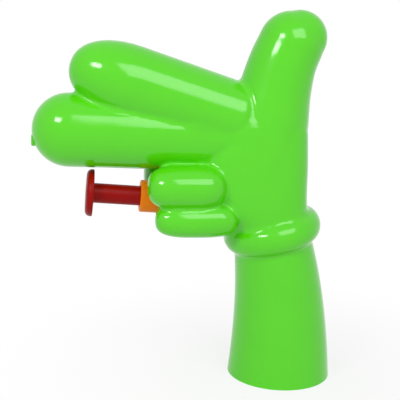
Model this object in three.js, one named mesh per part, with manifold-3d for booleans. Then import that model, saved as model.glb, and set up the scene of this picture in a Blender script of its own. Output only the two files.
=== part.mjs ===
// A water squirter shaped as a pointing hand, in millimetres, +Z up.
// The fingers point along -X, the palm faces -Y, and the origin is the middle of the flat base.
// Two moulded half shells meet on the plane Y = 0 and close round a plunger pump.

import * as THREE from 'three';
import { mergeVertices } from 'three/addons/utils/BufferGeometryUtils.js';
import Module from 'manifold-3d';

// Handle sleeve: it tapers evenly and bends forward towards the cuff
const HANDLE_HEIGHT = 58.4;
const HANDLE_LEAN = 5.65;
const HANDLE_BEND_POWER = 2.4;
const HANDLE_BASE_LENGTH = 41;
const HANDLE_BASE_WIDTH = 39.6;
const HANDLE_TOP_LENGTH = 30.4;
const HANDLE_TOP_WIDTH = 30.8;

// Rolled cuff round the wrist; the middle of its roll lies just inside the handle's skin
const CUFF_ROLL = 8.6;
const CUFF_HEIGHT = 11.4;
const CUFF_UP = 0.9;
const CUFF_SINK = 0.35;
const CUFF_TILT = 13.5;
const WRIST_STEP = 2;
const WRIST_OVERLAP = 6;

// Palm, as sections from the heel up: forward of and above the middle of the cuff, and how much
// wider and deeper each is than the wrist; a fullness of 2 is an ellipse, and more is squarer
const PALM_FULLNESS = 2.8;
const PALM = [
  { forward: 1.7, up: 4.2, wider: 3.2, deeper: 2 },
  { forward: 6.2, up: 12, wider: 9, deeper: 3 },
  { forward: 9.2, up: 27.6, wider: 14.1, deeper: 3 },
  { forward: 7.5, up: 37, wider: 9.6, deeper: 1.6 },
];

// Straight fingers: where the root starts, the length to the middle of the tip, and the rise
const INDEX_ROOT_FORWARD = 16.4;
const INDEX_ROOT_UP = 44.2;
const INDEX_LENGTH = 52.7;
const INDEX_RISE = 17.7;
const INDEX_ROOT_WIDTH = 28;
const INDEX_SWELL_WIDTH = 28;
const INDEX_TIP_WIDTH = 24.6;
const INDEX_DEPTH = 27.2;
const MIDDLE_ROOT_FORWARD = 16.4;
const MIDDLE_HEAD_GAP = 0.7;
const MIDDLE_LENGTH = 62.2;
const MIDDLE_RISE = 1.6;
const MIDDLE_ROOT_WIDTH = 27.2;
const MIDDLE_SWELL_WIDTH = 27.2;
const MIDDLE_TIP_WIDTH = 27.5;
const MIDDLE_DEPTH = 24.6;
const SWELL_PLACE = 0.78;
const KNUCKLE_REACH = 0.27;
const KNUCKLE_HEIGHT = 25;
const KNUCKLE_DEPTH = 25.8;

// Thumb, as sections from its root to the middle of its tip; it is a little less deep than wide
const THUMB_SLIMNESS = 0.955;
const THUMB = [
  { forward: 3.6, up: 43.1, width: 31 },
  { forward: 1.3, up: 56, width: 27.2 },
  { forward: -0.5, up: 65.5, width: 25 },
  { forward: -3.9, up: 72.7, width: 25.2 },
];

// Curled fingers, two on each side of the pump, set back from its mouth; they cover the fist
const UPPER_CURL_WIDTH = 16.3;
const UPPER_CURL_LENGTH = 28.9;
const UPPER_CURL_SET_BACK = 1.8;
const UPPER_CURL_FAR_SET_BACK = 2.4;
const LOWER_CURL_WIDTH = 13;
const LOWER_CURL_LENGTH = 30.7;
const LOWER_CURL_SET_BACK = 4.9;
const LOWER_CURL_FAR_SET_BACK = 9;
const CURL_STAND_OFF = 6.2;
const CURL_SQUEEZE = 2.2;
const CURL_DROP = 1.2;
const FIST_HEIGHT = 27;
const FIST_FULLNESS = 3;
const FIST_NOSE = 3;
const FIST_LENGTH = 20;

// Shell wall, the gap between touching pieces and the gap round a piece that slides
const WALL = 1.6;
const SEAT_GAP = 0.3;
const SLIDE_GAP = 0.2;

// How far a cutting tool runs past the face that it opens
const CUT_MARGIN = 1;

// Locating posts that line up the two half shells
const POST_WALL = 1.2;
const PIN_DIAMETER = 2.8;
const PIN_LENGTH = 4;
const INDEX_POST_PLACE = 0.7;
const THUMB_POST_PLACE = 0.8;

// Trigger plunger, its guide, its seal and its spring
const TRIGGER_STROKE = 15;
const STROKE_SPARE = 2.7;
const ROD_DIAMETER = 7.5;
const HEAD_DIAMETER = 17.8;
const HEAD_THICKNESS = 2.7;
const HEAD_EDGE = 1.9;
const GUIDE_LENGTH = 6;
const GUIDE_WALL = 0.75;
const PISTON_LENGTH = 6;
const SEAL_THICKNESS = 1.5;
const SPRING_WIRE = 0.8;
const SPRING_CURLS = 9;
const SPRING_ROOM = 17.5;
const SPRING_SIDE_GAP = 1.4;
const PILOT_LENGTH = 4;
const PILOT_GAP = 0.4;

// Pump barrel and the shell's seat for it
const PUMP_UP = 14.2;
const PUMP_TILT = 3.5;
const BARREL_WALL = 1.2;
const BARREL_STAND_OUT = 6.8;
const BARREL_NIPPLE_LENGTH = 3;
const BARREL_PORT = 2.8;
const FLANGE_RIM = 1.9;
const FLANGE_THICKNESS = 1.6;
const BOSS_WALL = 3.2;
const GASKET_THICKNESS = 1;
const SADDLE_THICKNESS = 1.6;
const SADDLE_HEIGHT = 18;
const REAR_SADDLE_INSET = 7;

// Valve block with a ball valve below (inlet) and above (outlet) the pump's axis
const BLOCK_WALL = 3.2;
const BLOCK_CORNER = 2;
const BALL_DIAMETER = 4;
const BALL_LIFT = 1;
const BALL_SIDE_GAP = 0.6;
const CHANNEL_DIAMETER = 2.8;
const CHANNEL_BELOW = 1.8;
const CHANNEL_ABOVE = 2.6;
const BYPASS_WIDTH = 1.2;
const BYPASS_DEPTH = 1.4;

// Tube fittings and flexible tubes
const FITTING_BORE = 1.4;
const FITTING_PLUG = 2.6;
const FITTING_RIM = 1.2;
const FITTING_FLANGE_THICKNESS = 1.4;
const SPIGOT_WALL = 0.4;
const SPIGOT_LENGTH = 4.2;
const TUBE_WALL = 0.6;
const DIP_TUBE_RISE = 2;
const OUTLET_CLIMB = 2.2;
const OUTLET_RUN = 0.55;

// Nozzle in the tip of the middle finger
const NOZZLE_DROP = 4;
const NOZZLE_SHANK = 4.4;
const NOZZLE_RIM = 1.2;
const NOZZLE_SHOULDER_LENGTH = 1.6;
const NOZZLE_LIP = 0.7;
const NOZZLE_HOLE = 1.1;
const NOZZLE_SEAT_LENGTH = 5;
const NOZZLE_SEAT_WALL = 1.4;

// Base cap and its filler plug
const CAP_FLOOR = 1.6;
const CAP_LEDGE = 1.4;
const CAP_LEDGE_HEIGHT = 2;
const FILLER_INSET = 12.5;
const FILLER_HOLE = 8;
const FILLER_NECK_WALL = 1.5;
const FILLER_NECK_HEIGHT = 4;
const PLUG_RIM = 1.5;
const PLUG_HEAD_THICKNESS = 1.3;
const PLUG_REACH = 1.2;
const NAIL_NOTCH = 6;

// Facets
const SKIN_SIDES = 16;
const SKIN_DOME = 4;
const CAVITY_SIDES = 10;
const CAVITY_DOME = 3;
const SLEEVE_SIDES = 28;
const SLEEVE_STEPS = 3;
const ROUND_SIDES = 16;
const TUBE_SIDES = 8;
const OUTLET_STEPS = 18;
const WIRE_SIDES = 5;
const CURL_STEPS = 8;
const CORNER_STEPS = 4;
const EDGE_STEPS = 3;
const GAP_STEPS = 24;

const wasm = await Module();
wasm.setup();

const GREEN = new THREE.MeshStandardMaterial({ color: 0x66d82c, roughness: 0.22, metalness: 0 });
const RED = new THREE.MeshStandardMaterial({ color: 0xa30d0a, roughness: 0.25, metalness: 0 });
const ORANGE = new THREE.MeshStandardMaterial({ color: 0xff7d14, roughness: 0.3, metalness: 0 });
const WHITE = new THREE.MeshStandardMaterial({ color: 0xe9e9e4, roughness: 0.4, metalness: 0 });
const CLEAR = new THREE.MeshStandardMaterial({ color: 0xd5dedd, roughness: 0.3, metalness: 0 });
const RUBBER = new THREE.MeshStandardMaterial({ color: 0x202020, roughness: 0.7, metalness: 0 });
const STEEL = new THREE.MeshStandardMaterial({ color: 0xb9bcc0, roughness: 0.3, metalness: 1 });

// Places that several pieces share
const cuffX = -HANDLE_LEAN;
const cuffZ = HANDLE_HEIGHT;
const tilt = THREE.MathUtils.degToRad(PUMP_TILT);
const rodRadius = ROD_DIAMETER / 2;
const boreRadius = rodRadius + SLIDE_GAP + GUIDE_WALL + SLIDE_GAP;
const barrelRadius = boreRadius + BARREL_WALL;
const flangeRadius = barrelRadius + FLANGE_RIM;
const pistonFront = GUIDE_LENGTH + SEAT_GAP;
const pistonBack = pistonFront + PISTON_LENGTH;
const barrelLength = pistonBack + TRIGGER_STROKE + SPRING_ROOM + BARREL_WALL;
const ballRadius = BALL_DIAMETER / 2;
const chamberRadius = ballRadius + BALL_SIDE_GAP;
const blockHalf = chamberRadius + BLOCK_WALL;
const blockMiddle = barrelLength + SEAT_GAP + blockHalf;
const fittingBore = FITTING_BORE / 2;
const spigotRadius = fittingBore + SPIGOT_WALL;
const tubeBore = spigotRadius + SLIDE_GAP;
const tubeRadius = tubeBore + TUBE_WALL;
const curlDepth = barrelRadius + CURL_STAND_OFF;

// The pump's own frame: its X axis runs inwards from the barrel's mouth, and the valve block
// stands over the middle of the cuff
const pump = new THREE.Group();
pump.rotation.y = tilt;
pump.position.set(cuffX - blockMiddle * Math.cos(tilt), 0, cuffZ + PUMP_UP);
pump.updateMatrixWorld();
const mouthX = pump.position.x;
const mouthZ = pump.position.z;

// Solids from geometry, and geometry from solids
function solidOf(geometry) {
  const bare = new THREE.BufferGeometry();
  bare.setAttribute('position', geometry.getAttribute('position').clone());
  bare.setIndex(geometry.getIndex());
  const welded = mergeVertices(bare, 1e-4);
  const corners = welded.getIndex().array;
  const kept = [];
  for (let i = 0; i < corners.length; i += 3) {
    const [a, b, c] = corners.slice(i, i + 3);
    if (a !== b && b !== c && c !== a) kept.push(a, b, c);
  }
  return new wasm.Manifold(new wasm.Mesh({
    numProp: 3,
    vertProperties: new Float32Array(welded.getAttribute('position').array),
    triVerts: new Uint32Array(kept),
  }));
}

function geometryOf(solid) {
  const mesh = solid.getMesh();
  const geometry = new THREE.BufferGeometry();
  geometry.setAttribute('position', new THREE.BufferAttribute(mesh.vertProperties, 3));
  geometry.setIndex(new THREE.BufferAttribute(mesh.triVerts, 1));
  return geometry;
}

const join = (solids) => solids.reduce((whole, next) => whole.add(next));

// A solid of revolution about +Z from [radius, height] corners, the outer wall going up
function turned(corners, sides = ROUND_SIDES) {
  const profile = corners.map(([radius, height]) => new THREE.Vector2(radius, height));
  return new THREE.LatheGeometry(profile, sides).rotateX(Math.PI / 2);
}

// The same about +X, with each height measured along X
function turnedAlongX(corners, sides = ROUND_SIDES) {
  return turned(corners, sides).rotateY(Math.PI / 2);
}

// A closed ring profile: outer wall up, inner wall down
function ring(outer, inner, low, high) {
  return [[outer, low], [outer, high], [inner, high], [inner, low], [outer, low]];
}

// Plain rods and boxes for cutting and joining
function rodZ(radius, low, high) {
  return turned([[0, low], [radius, low], [radius, high], [0, high]]);
}

function rodX(radius, low, high) {
  return rodZ(radius, low, high).rotateY(Math.PI / 2);
}

function rodY(radius, low, high, x, z) {
  return rodZ(radius, low, high).rotateX(-Math.PI / 2).translate(x, 0, z);
}

function box(x, y, z) {
  const size = [x[1] - x[0], y[1] - y[0], z[1] - z[0]];
  const middle = [(x[0] + x[1]) / 2, (y[0] + y[1]) / 2, (z[0] + z[1]) / 2];
  return new THREE.BoxGeometry(...size).translate(...middle);
}

const inPump = (geometry) => solidOf(geometry.applyMatrix4(pump.matrixWorld));

// A rounded limb: ellipses along a smooth line through its stations, with domed ends.
// A station has a middle (x, y, z) and half sizes across and deep; an inset thins it all round.
function limbProfile(domeSteps, bodySteps) {
  const profile = [new THREE.Vector2(0, -1)];
  for (let i = 1; i < domeSteps; i += 1) {
    const angle = i / domeSteps * Math.PI / 2;
    profile.push(new THREE.Vector2(Math.sin(angle), -Math.cos(angle)));
  }
  for (let i = 0; i <= bodySteps; i += 1) profile.push(new THREE.Vector2(1, i / bodySteps));
  for (let i = 1; i < domeSteps; i += 1) {
    const angle = i / domeSteps * Math.PI / 2;
    profile.push(new THREE.Vector2(Math.cos(angle), 1 + Math.sin(angle)));
  }
  profile.push(new THREE.Vector2(0, 2));
  return profile;
}

function limb(stations, inset, firstDome, fullness = 2) {
  const sides = inset > 0 ? CAVITY_SIDES : SKIN_SIDES;
  const domeSteps = inset > 0 ? CAVITY_DOME : SKIN_DOME;
  const bodySteps = 2 * (stations.length - 1);
  const line = new THREE.CatmullRomCurve3(stations.map((s) => new THREE.Vector3(s.x, s.y, s.z)));
  const girth = new THREE.CatmullRomCurve3(
    stations.map((s) => new THREE.Vector3(s.across - inset, s.deep - inset, 0)),
  );
  const geometry = new THREE.LatheGeometry(limbProfile(domeSteps, bodySteps), sides);
  const place = geometry.getAttribute('position');
  const depth = new THREE.Vector3(0, 1, 0);
  const fuller = (part) => Math.sign(part) * Math.abs(part) ** (2 / fullness);
  for (let i = 0; i < place.count; i += 1) {
    const reach = Math.hypot(place.getX(i), place.getZ(i)) || 1;
    const t = THREE.MathUtils.clamp(place.getY(i), 0, 1);
    const past = place.getY(i) - t;
    const half = girth.getPoint(t);
    const along = line.getTangent(t);
    const across = new THREE.Vector3().crossVectors(along, depth);
    const dome = past < 0 && firstDome !== undefined ? firstDome - inset : half.x;
    const point = line.getPoint(t)
      .addScaledVector(across, fuller(place.getX(i) / reach) * reach * half.x)
      .addScaledVector(depth, fuller(place.getZ(i) / reach) * reach * half.y)
      .addScaledVector(along, past * dome);
    place.setXYZ(i, point.x, point.y, point.z);
  }
  return solidOf(geometry);
}

// A straight finger, from its root to the middle of its round tip
function fingerStations(forward, up, length, rise, widths, depth) {
  const angle = THREE.MathUtils.degToRad(rise);
  const slimness = depth / widths[1];
  return [0, SWELL_PLACE, 1].map((share, i) => ({
    x: cuffX - forward - length * share * Math.cos(angle),
    y: 0,
    z: cuffZ + up + length * share * Math.sin(angle),
    across: widths[i] / 2,
    deep: widths[i] / 2 * slimness,
  }));
}

const indexFinger = fingerStations(INDEX_ROOT_FORWARD, INDEX_ROOT_UP, INDEX_LENGTH, INDEX_RISE,
  [INDEX_ROOT_WIDTH, INDEX_SWELL_WIDTH, INDEX_TIP_WIDTH], INDEX_DEPTH);
const middleUp = PUMP_UP + HEAD_DIAMETER / 2 + MIDDLE_HEAD_GAP + MIDDLE_SWELL_WIDTH / 2;
const middleFinger = fingerStations(MIDDLE_ROOT_FORWARD, middleUp, MIDDLE_LENGTH, MIDDLE_RISE,
  [MIDDLE_ROOT_WIDTH, MIDDLE_SWELL_WIDTH, MIDDLE_TIP_WIDTH], MIDDLE_DEPTH);
const thumb = THUMB.map((section) => ({
  x: cuffX - section.forward,
  y: 0,
  z: cuffZ + section.up,
  across: section.width / 2,
  deep: section.width / 2 * THUMB_SLIMNESS,
}));
const between = (finger, share) => new THREE.Vector3().lerpVectors(finger[0], finger.at(-1), share);

// The palm grows out of the wrist, which steps in from the handle's top
const wrist = { forward: 0, up: -WRIST_OVERLAP, wider: 0, deeper: 0 };
const palm = [wrist, ...PALM].map((section) => ({
  x: cuffX - section.forward,
  y: 0,
  z: cuffZ + section.up,
  across: (HANDLE_TOP_LENGTH - WRIST_STEP + section.wider) / 2,
  deep: (HANDLE_TOP_WIDTH - WRIST_STEP + section.deeper) / 2,
}));
const palmMiddle = palm[3];

// The knuckles fill the valley where the two straight fingers run into the palm
const knuckles = [KNUCKLE_REACH, 0].map((share) => {
  const middle = between(indexFinger, share).add(between(middleFinger, share)).multiplyScalar(0.5);
  return {
    x: middle.x,
    y: 0,
    z: middle.z,
    across: KNUCKLE_HEIGHT / 2,
    deep: KNUCKLE_DEPTH / 2,
  };
});

// A curled finger lies beside the pump; on the knuckle side it runs on into the palm
function curledStations(width, length, setBacks, above, side) {
  const radius = width / 2;
  const front = mouthX + setBacks[side < 0 ? 0 : 1] + radius;
  const back = side < 0 ? front + length - width : palmMiddle.x;
  return [front, back].map((x) => ({
    x,
    y: side * curlDepth,
    z: mouthZ + above,
    across: radius,
    deep: radius,
  }));
}

// The two fingers of a side are pressed together, and meet level with the pump's axis
const upperCurlAbove = (UPPER_CURL_WIDTH - CURL_SQUEEZE) / 2 - CURL_DROP;
const lowerCurlAbove = -(LOWER_CURL_WIDTH - CURL_SQUEEZE) / 2 - CURL_DROP;
const upperSetBacks = [UPPER_CURL_SET_BACK, UPPER_CURL_FAR_SET_BACK];
const lowerSetBacks = [LOWER_CURL_SET_BACK, LOWER_CURL_FAR_SET_BACK];
const curled = [-1, 1].flatMap((side) => [
  curledStations(UPPER_CURL_WIDTH, UPPER_CURL_LENGTH, upperSetBacks, upperCurlAbove, side),
  curledStations(LOWER_CURL_WIDTH, LOWER_CURL_LENGTH, lowerSetBacks, lowerCurlAbove, side),
]);

// Stations of the pump's seat, measured inwards from the barrel's mouth
const bossFront = BARREL_STAND_OUT;
const bossBack = bossFront + BOSS_WALL;
const gasketFront = bossBack + SEAT_GAP;
const flangeFront = gasketFront + GASKET_THICKNESS + SEAT_GAP;
const flangeBack = flangeFront + FLANGE_THICKNESS;
const saddleFront = flangeBack + SEAT_GAP;
const saddleBack = saddleFront + SADDLE_THICKNESS;
const rearSaddleBack = barrelLength - REAR_SADDLE_INSET;
const pocketRadius = flangeRadius + SEAT_GAP;

// The fist's core closes the space between the curled fingers, round the barrel
const fist = [bossBack, bossBack + FIST_LENGTH].map((inwards) => ({
  x: mouthX + inwards * Math.cos(tilt),
  y: 0,
  z: mouthZ - inwards * Math.sin(tilt),
  across: FIST_HEIGHT / 2,
  deep: curlDepth,
}));

// The handle between two heights, thinned all round by an inset
function sleeve(inset, low, high) {
  const profile = [new THREE.Vector2(0, 0)];
  for (let i = 0; i <= SLEEVE_STEPS; i += 1) profile.push(new THREE.Vector2(1, i / SLEEVE_STEPS));
  profile.push(new THREE.Vector2(0, 1));
  const geometry = new THREE.LatheGeometry(profile, SLEEVE_SIDES);
  const place = geometry.getAttribute('position');
  for (let i = 0; i < place.count; i += 1) {
    const z = THREE.MathUtils.lerp(low, high, place.getY(i));
    const share = z / HANDLE_HEIGHT;
    const halfLength = THREE.MathUtils.lerp(HANDLE_BASE_LENGTH, HANDLE_TOP_LENGTH, share) / 2 - inset;
    const halfWidth = THREE.MathUtils.lerp(HANDLE_BASE_WIDTH, HANDLE_TOP_WIDTH, share) / 2 - inset;
    const middle = -HANDLE_LEAN * Math.max(share, 0) ** HANDLE_BEND_POWER;
    place.setXYZ(i, middle - place.getX(i) * halfLength, place.getZ(i) * halfWidth, z);
  }
  return solidOf(geometry);
}

function cuff(inset) {
  const halfLength = HANDLE_TOP_LENGTH / 2 - CUFF_SINK;
  const halfWidth = HANDLE_TOP_WIDTH / 2 - CUFF_SINK;
  const sides = inset > 0 ? CAVITY_SIDES / 2 : SKIN_SIDES / 2;
  const geometry = new THREE.TorusGeometry(halfLength, CUFF_ROLL / 2 - inset, sides, SLEEVE_SIDES)
    .scale(1, halfWidth / halfLength, (CUFF_HEIGHT / 2 - inset) / (CUFF_ROLL / 2 - inset))
    .rotateY(-THREE.MathUtils.degToRad(CUFF_TILT))
    .translate(cuffX, 0, cuffZ + CUFF_UP);
  return solidOf(geometry);
}

// Every form of the hand, at its outside or thinned to the space inside its wall
function hand(inset) {
  return join([
    limb(indexFinger, inset),
    limb(middleFinger, inset),
    limb(thumb, inset),
    limb(palm, inset, undefined, PALM_FULLNESS),
    limb(knuckles, inset),
    ...curled.map((stations) => limb(stations, inset)),
    limb(fist, inset, FIST_NOSE, FIST_FULLNESS),
    cuff(inset),
  ]);
}

// Base cap sizes that the shells share
const capRecess = PLUG_HEAD_THICKNESS + SEAT_GAP;
const capThickness = CAP_FLOOR + capRecess;
const ledgeLow = capThickness + SEAT_GAP;

// Nozzle places, measured along X from the skin of the middle finger's tip
const fingertip = middleFinger.at(-1);
const nozzleZ = fingertip.z - NOZZLE_DROP;
const nozzleX = fingertip.x - Math.sqrt(fingertip.across ** 2 - NOZZLE_DROP ** 2);
const shankRadius = NOZZLE_SHANK / 2;
const shoulderRadius = shankRadius + NOZZLE_RIM;
const shoulderFront = NOZZLE_SEAT_LENGTH + SEAT_GAP;
const shoulderBack = shoulderFront + NOZZLE_SHOULDER_LENGTH;
const nozzleSeatBack = shoulderBack + SEAT_GAP + WALL;
const atNozzle = (geometry) => solidOf(geometry.translate(nozzleX, 0, nozzleZ));

// Posts stand across the hollow and line up the two halves
const pinRadius = PIN_DIAMETER / 2;
const socketRadius = pinRadius + SLIDE_GAP;
const postPlaces = [between(indexFinger, INDEX_POST_PLACE), between(thumb, THUMB_POST_PLACE)];
const wholeDepth = 2 * HANDLE_BASE_WIDTH;

function crossRods(radius, low, high) {
  return join(postPlaces.map((at) => solidOf(rodY(radius, low, high, at.x, at.z))));
}

// Both half shells before they are parted: skin, hollow, seats and posts
function bodyShell() {
  const skin = hand(0).add(sleeve(0, 0, HANDLE_HEIGHT));
  const pocket = inPump(rodX(pocketRadius, bossBack, saddleFront));
  const cuffTop = HANDLE_HEIGHT + CUFF_UP + CUFF_HEIGHT / 2;
  const hollow = hand(WALL).add(sleeve(WALL, -CUT_MARGIN, cuffTop)).add(pocket);
  const seatRadius = barrelRadius + SEAT_GAP;
  const saddle = (front, back) => inPump(
    box([front, back], [-wholeDepth, wholeDepth], [-SADDLE_HEIGHT / 2, SADDLE_HEIGHT / 2]),
  );
  const ledge = sleeve(WALL - SEAT_GAP, ledgeLow, ledgeLow + CAP_LEDGE_HEIGHT)
    .subtract(sleeve(WALL + CAP_LEDGE, 0, ledgeLow + CAP_LEDGE_HEIGHT + CUT_MARGIN));
  const inside = join([
    saddle(saddleFront, saddleBack),
    saddle(rearSaddleBack - SADDLE_THICKNESS, rearSaddleBack),
    atNozzle(rodX(shoulderRadius + SLIDE_GAP + NOZZLE_SEAT_WALL, 0, nozzleSeatBack)),
    crossRods(socketRadius + POST_WALL, -wholeDepth, wholeDepth),
    ledge,
  ]).intersect(skin);
  const boss = inPump(rodX(seatRadius + WALL, bossFront, bossBack));
  const cuts = join([
    inPump(rodX(seatRadius, -BARREL_STAND_OUT, barrelLength)),
    atNozzle(rodX(shankRadius + SLIDE_GAP, -WALL, nozzleSeatBack + CUT_MARGIN)),
    atNozzle(rodX(shoulderRadius + SLIDE_GAP, NOZZLE_SEAT_LENGTH, shoulderBack + SEAT_GAP)),
  ]);
  return skin.subtract(hollow).add(inside).add(boss).subtract(cuts);
}

// The shells part on Y = 0; the far one carries pins that enter sockets in the near one
function halfShells() {
  const whole = bodyShell();
  const reach = 2 * (HANDLE_HEIGHT + INDEX_LENGTH + MIDDLE_LENGTH);
  const parting = SEAT_GAP / 2;
  const halfSpace = (low, high) => solidOf(box([-reach, reach], [low, high], [-reach, reach]));
  return {
    near: whole.intersect(halfSpace(-reach, -parting))
      .subtract(crossRods(socketRadius, -PIN_LENGTH - SEAT_GAP, PIN_LENGTH)),
    far: whole.intersect(halfSpace(parting, reach)).add(crossRods(pinRadius, -PIN_LENGTH, PIN_LENGTH)),
  };
}

// Scene graph
const squirter = new THREE.Group();
squirter.add(pump);

function addMesh(parent, name, geometry, material) {
  const mesh = new THREE.Mesh(geometry, material);
  mesh.name = name;
  parent.add(mesh);
  return mesh;
}

const shells = halfShells();
addMesh(squirter, 'palm_side_shell', geometryOf(shells.near), GREEN);
addMesh(squirter, 'knuckle_side_shell', geometryOf(shells.far), GREEN);

// Base cap: a disc inside the handle's mouth, with a filler neck and a recess for the plug's head
const fillerX = HANDLE_BASE_LENGTH / 2 - FILLER_INSET;
const plugHeadRadius = FILLER_HOLE / 2 + PLUG_RIM;
const neckTop = capThickness + FILLER_NECK_HEIGHT;

function baseCap() {
  const atFiller = (geometry) => solidOf(geometry.translate(fillerX, 0, 0));
  const cuts = join([
    atFiller(rodZ(FILLER_HOLE / 2, -CUT_MARGIN, neckTop + CUT_MARGIN)),
    atFiller(rodZ(plugHeadRadius + SEAT_GAP, -CUT_MARGIN, capRecess)),
    atFiller(rodZ(NAIL_NOTCH / 2, -CUT_MARGIN, capRecess).translate(plugHeadRadius, 0, 0)),
  ]);
  return sleeve(WALL + SEAT_GAP, 0, capThickness)
    .add(atFiller(rodZ(FILLER_HOLE / 2 + FILLER_NECK_WALL, capRecess, neckTop)))
    .subtract(cuts);
}

addMesh(squirter, 'base_cap', geometryOf(baseCap()), GREEN);

const plugRadius = FILLER_HOLE / 2 - SLIDE_GAP;
const plug = addMesh(squirter, 'filler_plug', turned([
  [0, SEAT_GAP],
  [plugHeadRadius, SEAT_GAP],
  [plugHeadRadius, PLUG_HEAD_THICKNESS],
  [plugRadius, PLUG_HEAD_THICKNESS],
  [plugRadius, neckTop],
  [plugRadius - PLUG_REACH, neckTop + PLUG_REACH],
  [0, neckTop + PLUG_REACH],
]), WHITE);
plug.position.x = fillerX;

// Nozzle: lip and shank through the tip, a shoulder in its groove, a spigot for the tube
const nozzle = addMesh(squirter, 'nozzle_tip', turnedAlongX([
  [shankRadius, -NOZZLE_LIP],
  [shankRadius, shoulderFront],
  [shoulderRadius, shoulderFront],
  [shoulderRadius, shoulderBack],
  [spigotRadius, shoulderBack],
  [spigotRadius, nozzleSeatBack + SPIGOT_LENGTH],
  [NOZZLE_HOLE / 2, nozzleSeatBack + SPIGOT_LENGTH],
  [NOZZLE_HOLE / 2, -NOZZLE_LIP],
  [shankRadius, -NOZZLE_LIP],
]), GREEN);
nozzle.position.set(nozzleX, 0, nozzleZ);

// Barrel: open mouth, flange behind the boss, end wall with a ported nipple
const portRadius = BARREL_PORT / 2;
const nippleRadius = portRadius + BARREL_WALL;
const nippleEnd = barrelLength + BARREL_NIPPLE_LENGTH;
addMesh(pump, 'pump_barrel', turnedAlongX([
  [barrelRadius, 0],
  [barrelRadius, flangeFront],
  [flangeRadius, flangeFront],
  [flangeRadius, flangeBack],
  [barrelRadius, flangeBack],
  [barrelRadius, barrelLength],
  [nippleRadius, barrelLength],
  [nippleRadius, nippleEnd],
  [portRadius, nippleEnd],
  [portRadius, barrelLength - BARREL_WALL],
  [boreRadius, barrelLength - BARREL_WALL],
  [boreRadius, 0],
  [barrelRadius, 0],
]), ORANGE);

addMesh(pump, 'rod_guide',
  turnedAlongX(ring(boreRadius - SLIDE_GAP, rodRadius + SLIDE_GAP, 0, GUIDE_LENGTH)), ORANGE);
addMesh(pump, 'barrel_gasket',
  turnedAlongX(ring(flangeRadius, barrelRadius + SLIDE_GAP, gasketFront,
    gasketFront + GASKET_THICKNESS)), RUBBER);

// Plunger: mushroom head, rod, and a piston with a seal groove and a spring pilot
const springRadius = boreRadius - SPRING_SIDE_GAP;
const pilotRadius = springRadius - SPRING_WIRE - PILOT_GAP;
const pistonRadius = boreRadius - SLIDE_GAP;
const pistonMiddle = (pistonFront + pistonBack) / 2;
const sealSection = SEAL_THICKNESS / 2;
const sealRadius = pistonRadius - sealSection;
const grooveRadius = sealRadius - sealSection - SLIDE_GAP;
const grooveHalf = sealSection + SLIDE_GAP;
const headBack = -TRIGGER_STROKE - STROKE_SPARE;
const headFront = headBack - HEAD_THICKNESS;
const headRadius = HEAD_DIAMETER / 2;
const headEdge = [];
for (let i = 0; i <= EDGE_STEPS; i += 1) {
  const angle = i / EDGE_STEPS * Math.PI / 2;
  const inset = HEAD_EDGE * (1 - Math.sin(angle));
  headEdge.push([headRadius - inset, headFront + HEAD_EDGE * (1 - Math.cos(angle))]);
}
addMesh(pump, 'trigger_plunger', turnedAlongX([
  [0, headFront],
  ...headEdge,
  [headRadius, headBack],
  [rodRadius, headBack],
  [rodRadius, pistonFront],
  [pistonRadius, pistonFront],
  [pistonRadius, pistonMiddle - grooveHalf],
  [grooveRadius, pistonMiddle - grooveHalf],
  [grooveRadius, pistonMiddle + grooveHalf],
  [pistonRadius, pistonMiddle + grooveHalf],
  [pistonRadius, pistonBack],
  [pilotRadius, pistonBack],
  [pilotRadius, pistonBack + PILOT_LENGTH],
  [0, pistonBack + PILOT_LENGTH],
]), RED);

const seal = addMesh(pump, 'piston_seal',
  new THREE.TorusGeometry(sealRadius, sealSection, TUBE_SIDES, ROUND_SIDES).rotateY(Math.PI / 2), RUBBER);
seal.position.x = pistonMiddle;

// Return spring: one wire wound in an even helix between the piston and the barrel's end wall
class Helix extends THREE.Curve {
  constructor(radius, start, end, curls) {
    super();
    Object.assign(this, { radius, start, end, curls });
  }

  getPoint(t, target = new THREE.Vector3()) {
    const angle = t * this.curls * 2 * Math.PI;
    return target.set(THREE.MathUtils.lerp(this.start, this.end, t),
      this.radius * Math.cos(angle), this.radius * Math.sin(angle));
  }
}

function circle(radius, sides) {
  const points = [];
  for (let i = 0; i < sides; i += 1) {
    const angle = i / sides * 2 * Math.PI;
    points.push(new THREE.Vector2(radius * Math.cos(angle), radius * Math.sin(angle)));
  }
  return points;
}

const wireRadius = SPRING_WIRE / 2;
const springStart = pistonBack + SEAT_GAP + wireRadius;
const springEnd = barrelLength - BARREL_WALL - SEAT_GAP - wireRadius;
const helix = new Helix(springRadius - wireRadius, springStart, springEnd, SPRING_CURLS);
addMesh(pump, 'return_spring', new THREE.ExtrudeGeometry(new THREE.Shape(circle(wireRadius, WIRE_SIDES)), {
  steps: Math.round(SPRING_CURLS * CURL_STEPS),
  extrudePath: helix,
  bevelEnabled: false,
}), STEEL);

// The least clear gap between neighbouring curls, measured on points of the wire's middle line
function leastGap(curve, curls, wire) {
  const points = curve.getPoints(Math.round(curls * GAP_STEPS));
  let least = Infinity;
  for (let i = 0; i < points.length; i += 1) {
    for (let j = i + GAP_STEPS / 2; j < points.length; j += 1) {
      least = Math.min(least, points[i].distanceTo(points[j]) - wire);
    }
  }
  return least;
}

console.log(`return_spring least gap to itself: ${leastGap(helix, SPRING_CURLS, SPRING_WIRE).toFixed(2)} mm`);

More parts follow.
